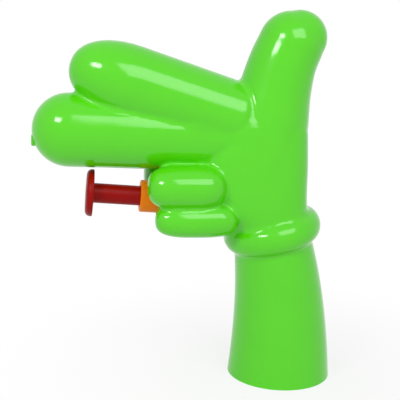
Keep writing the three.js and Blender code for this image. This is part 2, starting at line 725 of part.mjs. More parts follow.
// Valve block: one upright channel with a ball chamber at each end, fed from the barrel's nipple
const channelRadius = CHANNEL_DIAMETER / 2;
const seatedBall = (hole) => Math.sqrt(ballRadius ** 2 - hole ** 2) + SLIDE_GAP;
const inletBallZ = -CHANNEL_BELOW - SLIDE_GAP - BALL_LIFT - ballRadius;
const inletSeat = inletBallZ - seatedBall(fittingBore);
const outletBallZ = CHANNEL_ABOVE + seatedBall(channelRadius);
const outletStop = outletBallZ + ballRadius + BALL_LIFT + SLIDE_GAP;
const blockLow = inletSeat - FITTING_PLUG;
const blockHigh = outletStop + FITTING_PLUG;

const valves = new THREE.Group();
valves.position.x = blockMiddle;
pump.add(valves);

function valveBlock() {
  const inner = blockHalf - BLOCK_CORNER;
  const outline = new THREE.Shape();
  outline.absarc(inner, inner, BLOCK_CORNER, 0, Math.PI / 2);
  outline.absarc(-inner, inner, BLOCK_CORNER, Math.PI / 2, Math.PI);
  outline.absarc(-inner, -inner, BLOCK_CORNER, Math.PI, Math.PI * 1.5);
  outline.absarc(inner, -inner, BLOCK_CORNER, Math.PI * 1.5, Math.PI * 2);
  const body = new THREE.ExtrudeGeometry(outline, {
    depth: blockHigh - blockLow,
    bevelEnabled: false,
    curveSegments: CORNER_STEPS,
  }).translate(0, 0, blockLow);
  const socketEnd = BARREL_NIPPLE_LENGTH + SEAT_GAP - blockHalf;
  const bypassHalf = ballRadius + BYPASS_DEPTH;
  const cuts = [
    rodZ(chamberRadius, blockLow - CUT_MARGIN, -CHANNEL_BELOW),
    rodZ(channelRadius, -CHANNEL_BELOW - CUT_MARGIN, CHANNEL_ABOVE + CUT_MARGIN),
    rodZ(chamberRadius, CHANNEL_ABOVE, blockHigh + CUT_MARGIN),
    rodX(nippleRadius + SLIDE_GAP, -blockHalf - CUT_MARGIN, socketEnd),
    rodX(portRadius, socketEnd - CUT_MARGIN, 0),
    box([-BYPASS_WIDTH / 2, BYPASS_WIDTH / 2], [-bypassHalf, bypassHalf],
      [-CHANNEL_BELOW - ballRadius, -CHANNEL_BELOW + BYPASS_DEPTH]),
  ];
  return solidOf(body).subtract(join(cuts.map(solidOf)));
}

addMesh(valves, 'valve_block', geometryOf(valveBlock()), WHITE);

// A tube fitting: a plug in a ball chamber, a flange on the block's face and a spigot, going up
function fitting(plugEnd, face) {
  const plugWall = chamberRadius - SLIDE_GAP;
  const flangeLow = face + SEAT_GAP;
  const spigotLow = flangeLow + FITTING_FLANGE_THICKNESS;
  return turned([
    [plugWall, plugEnd],
    [plugWall, flangeLow],
    [chamberRadius + FITTING_RIM, flangeLow],
    [chamberRadius + FITTING_RIM, spigotLow],
    [spigotRadius, spigotLow],
    [spigotRadius, spigotLow + SPIGOT_LENGTH],
    [fittingBore, spigotLow + SPIGOT_LENGTH],
    [fittingBore, plugEnd],
    [plugWall, plugEnd],
  ]);
}

// The outlet's plug stops its ball, so a slot lets water past
const outletSlot = box([-BYPASS_WIDTH / 2, BYPASS_WIDTH / 2], [-chamberRadius, chamberRadius],
  [outletStop - CUT_MARGIN, outletStop + BYPASS_DEPTH]);
const outletFitting = solidOf(fitting(outletStop, blockHigh)).subtract(solidOf(outletSlot));
addMesh(valves, 'outlet_fitting', geometryOf(outletFitting), WHITE);
const inletFitting = addMesh(valves, 'inlet_fitting', fitting(-inletSeat, -blockLow), WHITE);
inletFitting.rotation.x = Math.PI;

const ball = new THREE.SphereGeometry(ballRadius, ROUND_SIDES, ROUND_SIDES / 2).rotateX(Math.PI / 2);
addMesh(valves, 'inlet_ball', ball, STEEL).position.z = inletBallZ;
addMesh(valves, 'outlet_ball', ball.clone(), STEEL).position.z = outletBallZ;

// Dip tube: straight down from the inlet, ending just above the base cap
const tubeStart = SEAT_GAP + FITTING_FLANGE_THICKNESS + SEAT_GAP;
const blockZ = mouthZ - blockMiddle * Math.sin(tilt);
const dipEnd = -(blockZ - capThickness - DIP_TUBE_RISE) / Math.cos(tilt);
addMesh(valves, 'dip_tube', turned(ring(tubeRadius, tubeBore, dipEnd, blockLow - tubeStart)), CLEAR);

// Outlet tube: straight off the outlet's spigot, round through the palm, straight onto the nozzle's
function outletTube() {
  const up = new THREE.Vector3(Math.sin(tilt), 0, Math.cos(tilt));
  const back = new THREE.Vector3(1, 0, 0);
  const start = new THREE.Vector3(blockMiddle, 0, blockHigh + tubeStart).applyMatrix4(pump.matrixWorld);
  const leave = start.clone().addScaledVector(up, SPIGOT_LENGTH);
  const end = new THREE.Vector3(nozzleX + nozzleSeatBack + SEAT_GAP, 0, nozzleZ);
  const arrive = end.clone().addScaledVector(back, SPIGOT_LENGTH);
  const climb = OUTLET_CLIMB * (nozzleZ - leave.z);
  const run = OUTLET_RUN * (leave.x - arrive.x);
  const route = new THREE.CurvePath();
  route.add(new THREE.LineCurve3(start, leave));
  route.add(new THREE.CubicBezierCurve3(leave, leave.clone().addScaledVector(up, climb),
    arrive.clone().addScaledVector(back, run), arrive));
  route.add(new THREE.LineCurve3(arrive, end));
  const section = new THREE.Shape(circle(tubeRadius, TUBE_SIDES));
  section.holes.push(new THREE.Path(circle(tubeBore, TUBE_SIDES)));
  return new THREE.ExtrudeGeometry(section, {
    steps: OUTLET_STEPS,
    extrudePath: route,
    bevelEnabled: false,
  });
}

addMesh(squirter, 'outlet_tube', outletTube(), CLEAR);

export default squirter;
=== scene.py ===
# %% [markdown]
# # A hand-shaped water squirter
#
# The toy is a hollow plastic hand that points with two fingers. A red trigger plunger slides in an
# orange barrel, and a small pump inside lifts water from the handle to a nozzle in the lower fingertip.
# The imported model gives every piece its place. This lesson models the surfaces that the eye sees:
# a smooth moulded skin for the hand, turned pieces for the pump, and a finish for each plastic.

import math

import bmesh
import bpy
import numpy as np
from mathutils import Matrix, Vector


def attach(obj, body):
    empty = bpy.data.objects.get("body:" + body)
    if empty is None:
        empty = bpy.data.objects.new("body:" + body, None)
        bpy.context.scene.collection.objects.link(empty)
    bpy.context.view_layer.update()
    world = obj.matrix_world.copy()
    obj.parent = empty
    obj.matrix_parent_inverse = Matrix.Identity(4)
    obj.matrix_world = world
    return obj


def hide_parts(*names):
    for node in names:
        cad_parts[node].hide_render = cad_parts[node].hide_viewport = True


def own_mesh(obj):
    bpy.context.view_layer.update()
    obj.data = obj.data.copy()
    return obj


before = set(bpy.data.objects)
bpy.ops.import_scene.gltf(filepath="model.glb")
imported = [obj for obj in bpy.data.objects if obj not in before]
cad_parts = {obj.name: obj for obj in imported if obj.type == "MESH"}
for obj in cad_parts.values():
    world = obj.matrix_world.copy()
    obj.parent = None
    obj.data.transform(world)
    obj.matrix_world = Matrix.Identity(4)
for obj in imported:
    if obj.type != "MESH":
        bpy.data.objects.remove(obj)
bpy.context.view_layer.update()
print("nodes in the frame:", len(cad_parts))

# %% [markdown]
# ## Units and a few small tools
#
# A toy is easiest to think of in millimetres, so every piece is modelled in millimetres and made
# smaller once, when it is finished. Metres would work too, but an edge of 0.0003 is hard to read. One
# function does the last step for every piece: it welds doubled points, marks the sharp edges, gives the
# material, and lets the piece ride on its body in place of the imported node.

# %% Finishing a piece
MM = 0.001
SHARP_DEGREES = 38
WELD = 0.0005


def finish_piece(bm, name, slot, body="body", place=Matrix()):
    """Turns a bmesh in millimetres into a piece that stands for the node of the same name."""
    bmesh.ops.transform(bm, matrix=place, verts=bm.verts)
    bmesh.ops.remove_doubles(bm, verts=bm.verts, dist=WELD)
    for face in bm.faces:
        face.smooth = True
    for edge in bm.edges:
        edge.smooth = len(edge.link_faces) == 2 and edge.calc_face_angle() < math.radians(SHARP_DEGREES)
    bmesh.ops.scale(bm, vec=(MM, MM, MM), verts=bm.verts)
    mesh = bpy.data.meshes.new(name + "_mesh")
    bm.to_mesh(mesh)
    bm.free()
    mesh.materials.append(FINISHES[slot])
    piece = bpy.data.objects.new(name + "_skin", mesh)
    bpy.context.scene.collection.objects.link(piece)
    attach(piece, body)
    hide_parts(name)
    print(f"{name}: {len(mesh.polygons)} faces")
    return piece


print("edges that turn by", SHARP_DEGREES, "degrees or more stay sharp")

# %% [markdown]
# ## Joining and cutting
#
# Moulded shells are easiest to describe as solids that are joined and cut. Blender's Boolean modifier
# does that on objects, so this tool puts two bmeshes into short-lived objects and reads the result back.
# The exact solver would do as well. The manifold solver is quicker, and all of these meshes are closed, as
# it needs them.

# %% Boolean on two bmeshes
def temporary_object(bm):
    """An object for a modifier to work on; the bmesh is used up."""
    mesh = bpy.data.meshes.new("temporary")
    bm.to_mesh(mesh)
    bm.free()
    shape = bpy.data.objects.new("temporary", mesh)
    bpy.context.scene.collection.objects.link(shape)
    return shape


def evaluated_bmesh(shape):
    """What an object looks like after its modifiers."""
    made = shape.evaluated_get(bpy.context.evaluated_depsgraph_get())
    bm = bmesh.new()
    bm.from_mesh(made.to_mesh())
    made.to_mesh_clear()
    return bm


def remove_object(shape):
    mesh = shape.data
    bpy.data.objects.remove(shape)
    bpy.data.meshes.remove(mesh)


def combine(bm, tool, operation):
    """UNION, DIFFERENCE or INTERSECT of two closed bmeshes; both are used up."""
    shape, cutter = temporary_object(bm), temporary_object(tool)
    modifier = shape.modifiers.new("combine", "BOOLEAN")
    modifier.operation = operation
    modifier.solver = "MANIFOLD"
    modifier.object = cutter
    made = evaluated_bmesh(shape)
    remove_object(shape)
    remove_object(cutter)
    return made


def carved(bm, cuts):
    """A bmesh with every cut taken away."""
    for cut in cuts:
        bm = combine(bm, cut, "DIFFERENCE")
    return bm


def block(low, high):
    """A box between two corners."""
    low, high = Vector(low), Vector(high)
    bm = bmesh.new()
    bmesh.ops.create_cube(bm, size=1)
    bmesh.ops.scale(bm, vec=high - low, verts=bm.verts)
    bmesh.ops.translate(bm, vec=(low + high) / 2, verts=bm.verts)
    return bm


notched = carved(block((0, 0, 0), (2, 2, 2)), [block((1, 1, 1), (3, 3, 3))])
print("a box without one corner has", len(notched.verts), "points")

# %% [markdown]
# ## Turned pieces
#
# Pump pieces are round, as if turned on a lathe. A profile is a row of corners, each with its distance
# from the axis, its place along the axis and the radius that rounds it. A vertex bevel rounds the corners,
# and a full spin about X sweeps the profile. A screw modifier could do this too, but it needs an object.

# %% Turning a profile about X
TURN_STEPS = 72
ROUND_STEPS, ROUND_PROFILE = 4, 0.5
FULL_TURN, QUARTER_TURN = 2 * math.pi, math.pi / 2
X_AXIS, Y_AXIS, Z_AXIS = (Vector(axis) for axis in ((1, 0, 0), (0, 1, 0), (0, 0, 1)))


def spun(bm, axis=X_AXIS, steps=TURN_STEPS):
    """Sweeps what is in a bmesh a full turn about an axis through the origin."""
    bmesh.ops.spin(bm, geom=bm.verts[:] + bm.edges[:], cent=(0, 0, 0), axis=axis, angle=FULL_TURN,
                   steps=steps, use_merge=True)
    bmesh.ops.remove_doubles(bm, verts=bm.verts, dist=WELD)
    bmesh.ops.recalc_face_normals(bm, faces=bm.faces)
    return bm


def turned(corners, closed=False):
    """A solid of revolution about X from (radius, along, rounding) corners."""
    bm = bmesh.new()
    verts = [bm.verts.new((along, 0, radius)) for radius, along, _ in corners]
    pairs = list(zip(verts, verts[1:]))
    if closed:
        pairs.append((verts[-1], verts[0]))
    for pair in pairs:
        bm.edges.new(pair)
    for vert, (_, _, rounding) in zip(verts, corners):
        if rounding > 0:
            bmesh.ops.bevel(bm, geom=[vert], offset=rounding, offset_type="OFFSET", segments=ROUND_STEPS,
                            profile=ROUND_PROFILE, affect="VERTICES", material=-1)
    return spun(bm)


def placed(bm, place):
    """Moves a bmesh to its place."""
    bmesh.ops.transform(bm, matrix=place, verts=bm.verts)
    return bm


def rod(radius, start, end, place=Matrix()):
    """A plain cylinder, along X until it is placed."""
    return placed(turned([(0, start, 0), (radius, start, 0), (radius, end, 0), (0, end, 0)]), place)


print("a plain rod has", len(rod(1, 0, 1).faces), "faces")

# %% [markdown]
# ## Finishes
#
# Nearly everything here is moulded plastic. The hand is glossy polyethylene: its colour is deep in the
# material, and its surface keeps a very slight orange peel from the mould. A painted picture could show
# this too, but noise on Object coordinates needs no unwrapping. Colours are written as sRGB hex values and
# turned to linear by one function. One more function adds a node with its settings, its values and its
# links, so that each finish reads as a short list. Steel takes the same recipe, made metallic.

# %% Colour and node tools
def linear(hex_colour):
    """Linear RGBA from an sRGB hex value."""
    parts = [int(hex_colour[i:i + 2], 16) / 255 for i in (1, 3, 5)]
    return [c / 12.92 if c <= 0.04045 else ((c + 0.055) / 1.055) ** 2.4 for c in parts] + [1]


def add_node(tree, kind, settings=None, values=None, links=None):
    """Adds a node, sets its properties and input values, and links its inputs."""
    made = tree.nodes.new(kind)
    for name, value in (settings or {}).items():
        setattr(made, name, value)
    for name, value in (values or {}).items():
        made.inputs[name].default_value = value
    for name, socket in (links or {}).items():
        tree.links.new(made.inputs[name], socket)
    return made


print("middle grey in linear light:", round(linear("#808080")[0], 3))

# %% One recipe for a moulded plastic
MM_PER_METRE = 1000
MOTTLE_SIZE, MOTTLE_DETAIL = 14, 2.0
SCUFF_SIZE, SCUFF_DETAIL = 5, 4.0
PEEL_SIZE, PEEL_DETAIL = 2.4, 1.0
MIX_FIRST, MIX_SECOND, MIX_RESULT = 6, 7, 2


def noise(tree, place, size, detail):
    """Soft noise whose spots are about as large as the size, in millimetres."""
    values = {"Scale": MM_PER_METRE / size, "Detail": detail}
    return add_node(tree, "ShaderNodeTexNoise", values=values, links={"Vector": place}).outputs["Fac"]


def moulded_plastic(name, colour, deep_colour, rough_low, rough_high, ior, specular=0.5, peel=0.02):
    """Two close tones drift across the piece, the gloss varies softly, and the skin has a faint peel."""
    material = bpy.data.materials.new(name)
    material.use_nodes = True
    tree = material.node_tree
    shader = tree.nodes["Principled BSDF"]
    place = add_node(tree, "ShaderNodeTexCoord").outputs["Object"]
    tones = add_node(tree, "ShaderNodeMix", {"data_type": "RGBA"},
                     values={MIX_FIRST: linear(deep_colour), MIX_SECOND: linear(colour)},
                     links={0: noise(tree, place, MOTTLE_SIZE, MOTTLE_DETAIL)})
    gloss = add_node(tree, "ShaderNodeMapRange", values={"To Min": rough_low, "To Max": rough_high},
                     links={"Value": noise(tree, place, SCUFF_SIZE, SCUFF_DETAIL)})
    bump = add_node(tree, "ShaderNodeBump", values={"Strength": peel, "Distance": MM},
                    links={"Height": noise(tree, place, PEEL_SIZE, PEEL_DETAIL)})
    tree.links.new(shader.inputs["Base Color"], tones.outputs[MIX_RESULT])
    tree.links.new(shader.inputs["Roughness"], gloss.outputs["Result"])
    tree.links.new(shader.inputs["Normal"], bump.outputs["Normal"])
    shader.inputs["IOR"].default_value = ior
    shader.inputs["Specular IOR Level"].default_value = specular
    return material


# %% Finishes by slot
# Each row: a name, two close tones, the least and the most roughness, IOR, specular level, peel.
RECIPES = {
    "green_plastic": ("glossy_green_polyethylene", "#59da0a", "#54d506", 0.12, 0.16, 1.51),
    "red_plastic": ("glossy_red_polystyrene", "#a00602", "#900502", 0.34, 0.44, 1.5, 0.14),
    "orange_plastic": ("glossy_orange_polyethylene", "#ff8a08", "#fd8004", 0.34, 0.44, 1.51, 0.14),
    "white_plastic": ("natural_polypropylene", "#ecece6", "#e2e2da", 0.34, 0.46, 1.49),
    "clear_tube": ("milky_soft_tube", "#dfe6e4", "#d2dad8", 0.26, 0.36, 1.53),
    "rubber": ("black_nitrile_rubber", "#1c1c1e", "#161618", 0.55, 0.7, 1.52, 0.5, 0.05),
    "steel": ("bright_drawn_steel", "#c4c7cb", "#b6b9be", 0.18, 0.3, 1.5, 0.5, 0.01),
}
FINISHES = {slot: moulded_plastic(*recipe) for slot, recipe in RECIPES.items()}
FINISHES["steel"].node_tree.nodes["Principled BSDF"].inputs["Metallic"].default_value = 1.0
print("finishes:", [made.name for made in FINISHES.values()])

# %% [markdown]
# ## The hand's driving sizes
#
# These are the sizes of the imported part, in millimetres. Its meshes could be measured, but named sizes also
# say what each of them is for. Each straight finger has a root, a swelling before its tip and a round tip.
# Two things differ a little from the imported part, to catch the light as the toy does: the middle finger is
# slightly deeper, and the thumb's last section bends its tip back.

# %% Sizes of the handle, the cuff and the palm
HANDLE_HEIGHT, HANDLE_LEAN, HANDLE_BEND_POWER = 58.4, 5.65, 2.4
HANDLE_BASE_LENGTH, HANDLE_BASE_WIDTH = 41.0, 39.6
HANDLE_TOP_LENGTH, HANDLE_TOP_WIDTH = 30.4, 30.8
CUFF_ROLL, CUFF_HEIGHT, CUFF_UP, CUFF_SINK, CUFF_TILT = 8.6, 11.4, 0.9, 0.35, 13.5
WRIST_STEP, WRIST_OVERLAP = 2, 6
PALM = [(1.7, 4.2, 31.6, 30.8), (6.2, 12, 37.4, 31.8), (9.2, 27.6, 42.5, 30.9), (7.5, 37, 38, 29.3)]
PALM_FULLNESS, PALM_BLUNT = 2.8, 2.0
WALL, SEAT_GAP, SLIDE_GAP = 1.6, 0.3, 0.2
cuff_x, cuff_z = -HANDLE_LEAN, HANDLE_HEIGHT
wrist = (0, -WRIST_OVERLAP, HANDLE_TOP_LENGTH - WRIST_STEP, HANDLE_TOP_WIDTH - WRIST_STEP)
PALM_STATIONS = [(cuff_x - f, cuff_z + u, a / 2, d / 2) for f, u, a, d in [wrist, *PALM]]
print("middle of the cuff at", cuff_x, cuff_z, "mm")

# %% Sizes of the fingers
SWELL_PLACE, KNUCKLE_REACH = 0.78, 0.27
KNUCKLE_HEIGHT, KNUCKLE_DEPTH = 25, 25.8


def finger(forward, up, length, rise, widths, depth):
    """Stations (x, z, half across, half deep) of a straight finger, from its root to its tip."""
    angle = math.radians(rise)
    slim = depth / widths[1]
    stations = []
    for share, width in zip((0, SWELL_PLACE, 1), widths):
        x = cuff_x - forward - length * share * math.cos(angle)
        z = cuff_z + up + length * share * math.sin(angle)
        stations.append((x, z, width / 2, width / 2 * slim))
    return stations


INDEX = finger(forward=16.4, up=44.2, length=52.7, rise=17.7, widths=(28, 28, 24.6), depth=27.2)
MIDDLE = finger(forward=16.4, up=37.4, length=62.2, rise=1.6, widths=(27.2, 27.2, 27.5), depth=26.0)
THUMB_SECTIONS = [(5.6, 28, 32.4), (3.6, 43.1, 31), (1.4, 56, 27.4), (-0.9, 65.5, 25.6),
                  (-3.7, 72.6, 24.8), (-6.7, 74.9, 21)]
THUMB_SLIMNESS = 0.955
THUMB = [(cuff_x - f, cuff_z + u, w / 2, w / 2 * THUMB_SLIMNESS) for f, u, w in THUMB_SECTIONS]


def knuckle(share):
    """A station half way between the two straight fingers, which fills the valley at their roots."""
    index = Vector(INDEX[0][:2]).lerp(Vector(INDEX[2][:2]), share)
    middle = Vector(MIDDLE[0][:2]).lerp(Vector(MIDDLE[2][:2]), share)
    x, z = (index + middle) / 2
    return x, z, KNUCKLE_HEIGHT / 2, KNUCKLE_DEPTH / 2


KNUCKLES = [knuckle(KNUCKLE_REACH), knuckle(0)]
print("index fingertip at", [round(v, 1) for v in INDEX[2][:2]], "mm")

# %% Sizes of the pump, the fist and the curled fingers
TRIGGER_STROKE, STROKE_SPARE = 15, 2.7
ROD_RADIUS, HEAD_RADIUS, HEAD_THICKNESS = 3.75, 8.9, 2.7
GUIDE_LENGTH, GUIDE_WALL, PISTON_LENGTH = 6, 0.75, 6
SPRING_ROOM, BARREL_WALL, BARREL_STAND_OUT = 17.5, 1.2, 6.8
PUMP_UP, PUMP_TILT = 14.2, math.radians(3.5)
BALL_RADIUS, BALL_SIDE_GAP, BLOCK_WALL = 2.0, 0.6, 3.2
bore = ROD_RADIUS + SLIDE_GAP + GUIDE_WALL + SLIDE_GAP
barrel = bore + BARREL_WALL
piston_front = GUIDE_LENGTH + SEAT_GAP
piston_back = piston_front + PISTON_LENGTH
barrel_length = piston_back + TRIGGER_STROKE + SPRING_ROOM + BARREL_WALL
chamber = BALL_RADIUS + BALL_SIDE_GAP
block_half = chamber + BLOCK_WALL
block_middle = barrel_length + SEAT_GAP + block_half
mouth_x, mouth_z = cuff_x - block_middle * math.cos(PUMP_TILT), cuff_z + PUMP_UP
PUMP = Matrix.Translation((mouth_x, 0, mouth_z)) @ Matrix.Rotation(PUMP_TILT, 4, "Y")
UPPER_CURL = {"width": 16.3, "length": 28.9, "set_back": 1.8, "far_set_back": 2.4}
LOWER_CURL = {"width": 13.0, "length": 30.7, "set_back": 4.9, "far_set_back": 9.0}
CURL_STAND_OFF, CURL_SQUEEZE, CURL_DROP = 6.2, 2.2, 1.2
FIST_HEIGHT, FIST_NOSE, FIST_LENGTH, FIST_FULLNESS = 27, 3, 20, 3.0
BOSS_WALL = 3.2
curl_depth = barrel + CURL_STAND_OFF
print("pump mouth at", round(mouth_x, 2), round(mouth_z, 2), "mm")

# %% [markdown]
# ## Lofting a limb
#
# A finger is a row of ellipses along a gently curved line, closed by a dome at each end. It could be
# sculpted, but then its widths couldn't be given. In a loft each ring is a circle that a matrix stretches
# and turns, and bridge_loops skins one ring to the next. The line and the girth both pass smoothly through
# the stations by a Catmull-Rom curve.

# %% Smooth line through stations
CENTRIPETAL = 0.5
LEAST_STEP = 1e-3


def through(points, t, level_ends=False):
    """A point on the centripetal Catmull-Rom curve through some points, at t from 0 to 1."""
    points = [np.array(p, float) for p in points]
    before, after = 2 * points[0] - points[1], 2 * points[-1] - points[-2]
    if level_ends:
        before, after = points[1], points[-2]
    points = [before, *points, after]
    i = min(int(t * (len(points) - 3)), len(points) - 4)
    s = t * (len(points) - 3) - i
    p0, p1, p2, p3 = points[i:i + 4]
    d0, d1, d2 = (max(np.linalg.norm(b - a) ** CENTRIPETAL, LEAST_STEP)
                  for a, b in ((p0, p1), (p1, p2), (p2, p3)))
    m1 = ((p1 - p0) / d0 - (p2 - p0) / (d0 + d1) + (p2 - p1) / d1) * d1
    m2 = ((p2 - p1) / d1 - (p3 - p1) / (d1 + d2) + (p3 - p2) / d2) * d1
    return p1 + s * m1 + s * s * (3 * (p2 - p1) - 2 * m1 - m2) + s ** 3 * (2 * (p1 - p2) + m1 + m2)


print("half way along the thumb:", [round(float(v), 1) for v in through(THUMB, 0.5)], "mm")

# %% Skinning a row of rings
LOFT_SIDES = 64
ELLIPSE = 2.0


def ring_at(middle, across, deep, along):
    """The matrix that puts a unit circle at a point, with its two radii and its axis as vectors."""
    return Matrix.Translation(middle) @ Matrix((across, deep, along)).transposed().to_4x4()


def loft(rings, sides=LOFT_SIDES, capped=True, fullness=ELLIPSE):
    """Skins a row of ring matrices, and closes both ends. A fullness above that of an ellipse is squarer."""
    bm = bmesh.new()
    loops = []
    power = 2 / fullness
    for i, matrix in enumerate(rings):
        at_end = i in (0, len(rings) - 1)
        circle = bmesh.ops.create_circle(bm, cap_ends=capped and at_end, segments=sides, radius=1)
        verts = circle["verts"]
        for vert in verts:
            fuller = [math.copysign(abs(part) ** power, part) for part in vert.co]
            vert.co = matrix @ Vector(fuller)
        ring = set(verts)
        loops.append([e for e in {e for v in verts for e in v.link_edges} if set(e.verts) <= ring])
    for one, other in zip(loops, loops[1:]):
        bmesh.ops.bridge_loops(bm, edges=one + other)
    bmesh.ops.recalc_face_normals(bm, faces=bm.faces)
    return bm


print("a loft of two rings has", len(loft([Matrix(), Matrix.Translation(Z_AXIS)]).faces), "faces")

# %% Limbs with domes
LOFT_STEPS, DOME_STEPS = 28, 12
POLE_GAP = 0.06
TANGENT_STEP = 0.01


def last_rings(blunt):
    """The dome at the end of a limb: (share of the limb, share of the dome, shrink), up to near its pole."""
    power = 2 / blunt
    angles = np.linspace(0, QUARTER_TURN - POLE_GAP, DOME_STEPS)[1:]
    return [(1, math.sin(a) ** power, math.cos(a) ** power) for a in angles]


def first_rings(blunt):
    """The same at the start of a limb."""
    power = 2 / blunt
    angles = np.linspace(POLE_GAP, QUARTER_TURN, DOME_STEPS)
    return [(0, -math.cos(a) ** power, math.sin(a) ** power) for a in angles]


def limb(stations, y=0.0, first_dome=None, last_dome=None, blunt=ELLIPSE, fullness=ELLIPSE):
    """A rounded limb through stations of (x, z, half across, half deep). A dome is as long as the limb is
    half across unless its length is given; a higher blunt makes a fuller tip."""
    line, girth = [s[:2] for s in stations], [s[2:] for s in stations]
    between = [(t, 0, 1) for t in np.linspace(0, 1, LOFT_STEPS)[1:]]
    rings = []
    for t, past, shrink in first_rings(blunt) + between + last_rings(blunt):
        x, z = through(line, t)
        across, deep = through(girth, t, level_ends=True)
        ahead = through(line, min(t + TANGENT_STEP, 1)) - through(line, max(t - TANGENT_STEP, 0))
        along = Vector((ahead[0], 0, ahead[1])).normalized()
        dome = (first_dome if past < 0 else last_dome) or across
        middle = Vector((x, y, z)) + along * past * dome
        side = along.cross(Y_AXIS)
        rings.append(ring_at(middle, side * across * shrink, Y_AXIS * deep * shrink, along))
    return loft(rings, fullness=fullness)


def stacked(stations):
    """A limb of level rings with a dome on top, for the palm, whose stations stand over each other."""
    places = [(t, 0, 1) for t in np.linspace(0, 1, LOFT_STEPS)] + last_rings(PALM_BLUNT)
    rings = []
    for t, past, shrink in places:
        x, z, across, deep = through(stations, t)
        rings.append(Matrix.Translation((x, 0, z + past * across)) @ Matrix.Diagonal(
            (across * shrink, deep * shrink, 1, 1)))
    return loft(rings, fullness=PALM_FULLNESS)


print("rings in the dome at a tip:", len(last_rings(ELLIPSE)))

# %% [markdown]
# ## The curled fingers, the cuff and the handle
#
# Two fingers curl over the grip on each side of the pump. On the palm side their round tips show; on the
# knuckle side they run on into the back of the hand. The cuff is a circle spun into a tilted roll, and the
# handle is a loft that flares to the base. Boxes with subdivision could be pulled to these shapes, but lofts
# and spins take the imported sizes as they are. The handle starts below the floor line, and is cut flat later.

# %% Handle and cuff
HANDLE_RINGS = 24
HANDLE_SPARE = 8
CUFF_SIDES = 40


def handle_ring(z, inset=0.0):
    """The ring matrix of the handle at a height, thinned all round by the inset."""
    share = z / HANDLE_HEIGHT
    length = HANDLE_BASE_LENGTH + (HANDLE_TOP_LENGTH - HANDLE_BASE_LENGTH) * share
    width = HANDLE_BASE_WIDTH + (HANDLE_TOP_WIDTH - HANDLE_BASE_WIDTH) * share
    middle = -HANDLE_LEAN * max(share, 0) ** HANDLE_BEND_POWER
    girth = Matrix.Diagonal((length / 2 - inset, width / 2 - inset, 1, 1))
    return Matrix.Translation((middle, 0, z)) @ girth


def handle():
    """The flared grip, with a spare piece below the base."""
    return loft([handle_ring(z) for z in np.linspace(-HANDLE_SPARE, HANDLE_HEIGHT, HANDLE_RINGS)])


def upright_circle(place, radius, sides):
    """A bmesh with one circle that stands in the XZ plane, ready to be swept."""
    bm = bmesh.new()
    upright = Matrix.Translation(place) @ Matrix.Rotation(QUARTER_TURN, 4, "X")
    bmesh.ops.create_circle(bm, segments=sides, radius=radius, matrix=upright)
    return bm


def cuff():
    """The roll round the wrist, stretched and tilted after the spin."""
    half_length = HANDLE_TOP_LENGTH / 2 - CUFF_SINK
    half_width = HANDLE_TOP_WIDTH / 2 - CUFF_SINK
    section = upright_circle((half_length, 0, 0), CUFF_ROLL / 2, CUFF_SIDES)
    roll = spun(section, axis=Z_AXIS, steps=2 * TURN_STEPS)
    stretch = Matrix.Diagonal((1, half_width / half_length, CUFF_HEIGHT / CUFF_ROLL, 1))
    turn = Matrix.Rotation(-math.radians(CUFF_TILT), 4, "Y")
    return placed(roll, Matrix.Translation((cuff_x, 0, cuff_z + CUFF_UP)) @ turn @ stretch)


print("the cuff tilts by", CUFF_TILT, "degrees")

# %% All the forms of the hand
CURL_BLUNT, CURL_FLAT = 2.9, 1.0
INDEX_BLUNT, INDEX_ROOT_DOME = 2.2, 5
PALM_MIDDLE = PALM_STATIONS[3][0]


def curled(curl, above, side):
    """A curled finger: a blunt form on the palm side, a finger that ends in the palm on the other."""
    radius = curl["width"] / 2
    front = mouth_x + curl["set_back" if side < 0 else "far_set_back"] + radius
    back = front + curl["length"] - curl["width"] if side < 0 else PALM_MIDDLE
    z = mouth_z + above
    dome = None
    if side < 0:
        middle, dome = (front + back) / 2, curl["length"] / 2 - CURL_FLAT
        front, back = middle - CURL_FLAT, middle + CURL_FLAT
    ends = [(front, z, radius, radius), (back, z, radius, radius)]
    return limb(ends, y=side * curl_depth, first_dome=dome, last_dome=dome, blunt=CURL_BLUNT)


index_tip = (Vector(INDEX[2][:2]) - Vector(INDEX[1][:2])).length + INDEX[2][2]
boss_back = BARREL_STAND_OUT + BOSS_WALL
boss_radius = barrel + SEAT_GAP + WALL
fist_line = [PUMP @ Vector((along, 0, 0)) for along in (boss_back, boss_back + FIST_LENGTH)]
upper_above = (UPPER_CURL["width"] - CURL_SQUEEZE) / 2 - CURL_DROP
lower_above = -(LOWER_CURL["width"] - CURL_SQUEEZE) / 2 - CURL_DROP
FORMS = [
    limb(INDEX[:2], first_dome=INDEX_ROOT_DOME, last_dome=index_tip, blunt=INDEX_BLUNT),
    limb(MIDDLE),
    limb(THUMB[:-1]),
    limb(THUMB[-2:]),
    stacked(PALM_STATIONS),
    limb(KNUCKLES),
    limb([(p.x, p.z, FIST_HEIGHT / 2, curl_depth) for p in fist_line], first_dome=FIST_NOSE,
         fullness=FIST_FULLNESS),
    rod(boss_radius, BARREL_STAND_OUT, barrel_length, PUMP),
    *[curled(UPPER_CURL, upper_above, side) for side in (-1, 1)],
    *[curled(LOWER_CURL, lower_above, side) for side in (-1, 1)],
    cuff(),
    handle(),
]
print("forms in the hand:", len(FORMS))

# %% [markdown]
# ## One moulded skin
#
# In the mould all these forms run into each other with soft creases. Booleans would leave hard creases, so
# a voxel remesh turns the overlapping forms into one skin. A light smoothing removes the small steps that
# voxels leave. Each round of it shrinks the skin a little and swells it again by slightly more, so that
# fingertips keep their size. A plain smoothing where the skin is hollow then turns the creases into fillets.

# %% One skin from overlapping forms
VOXEL = 0.6


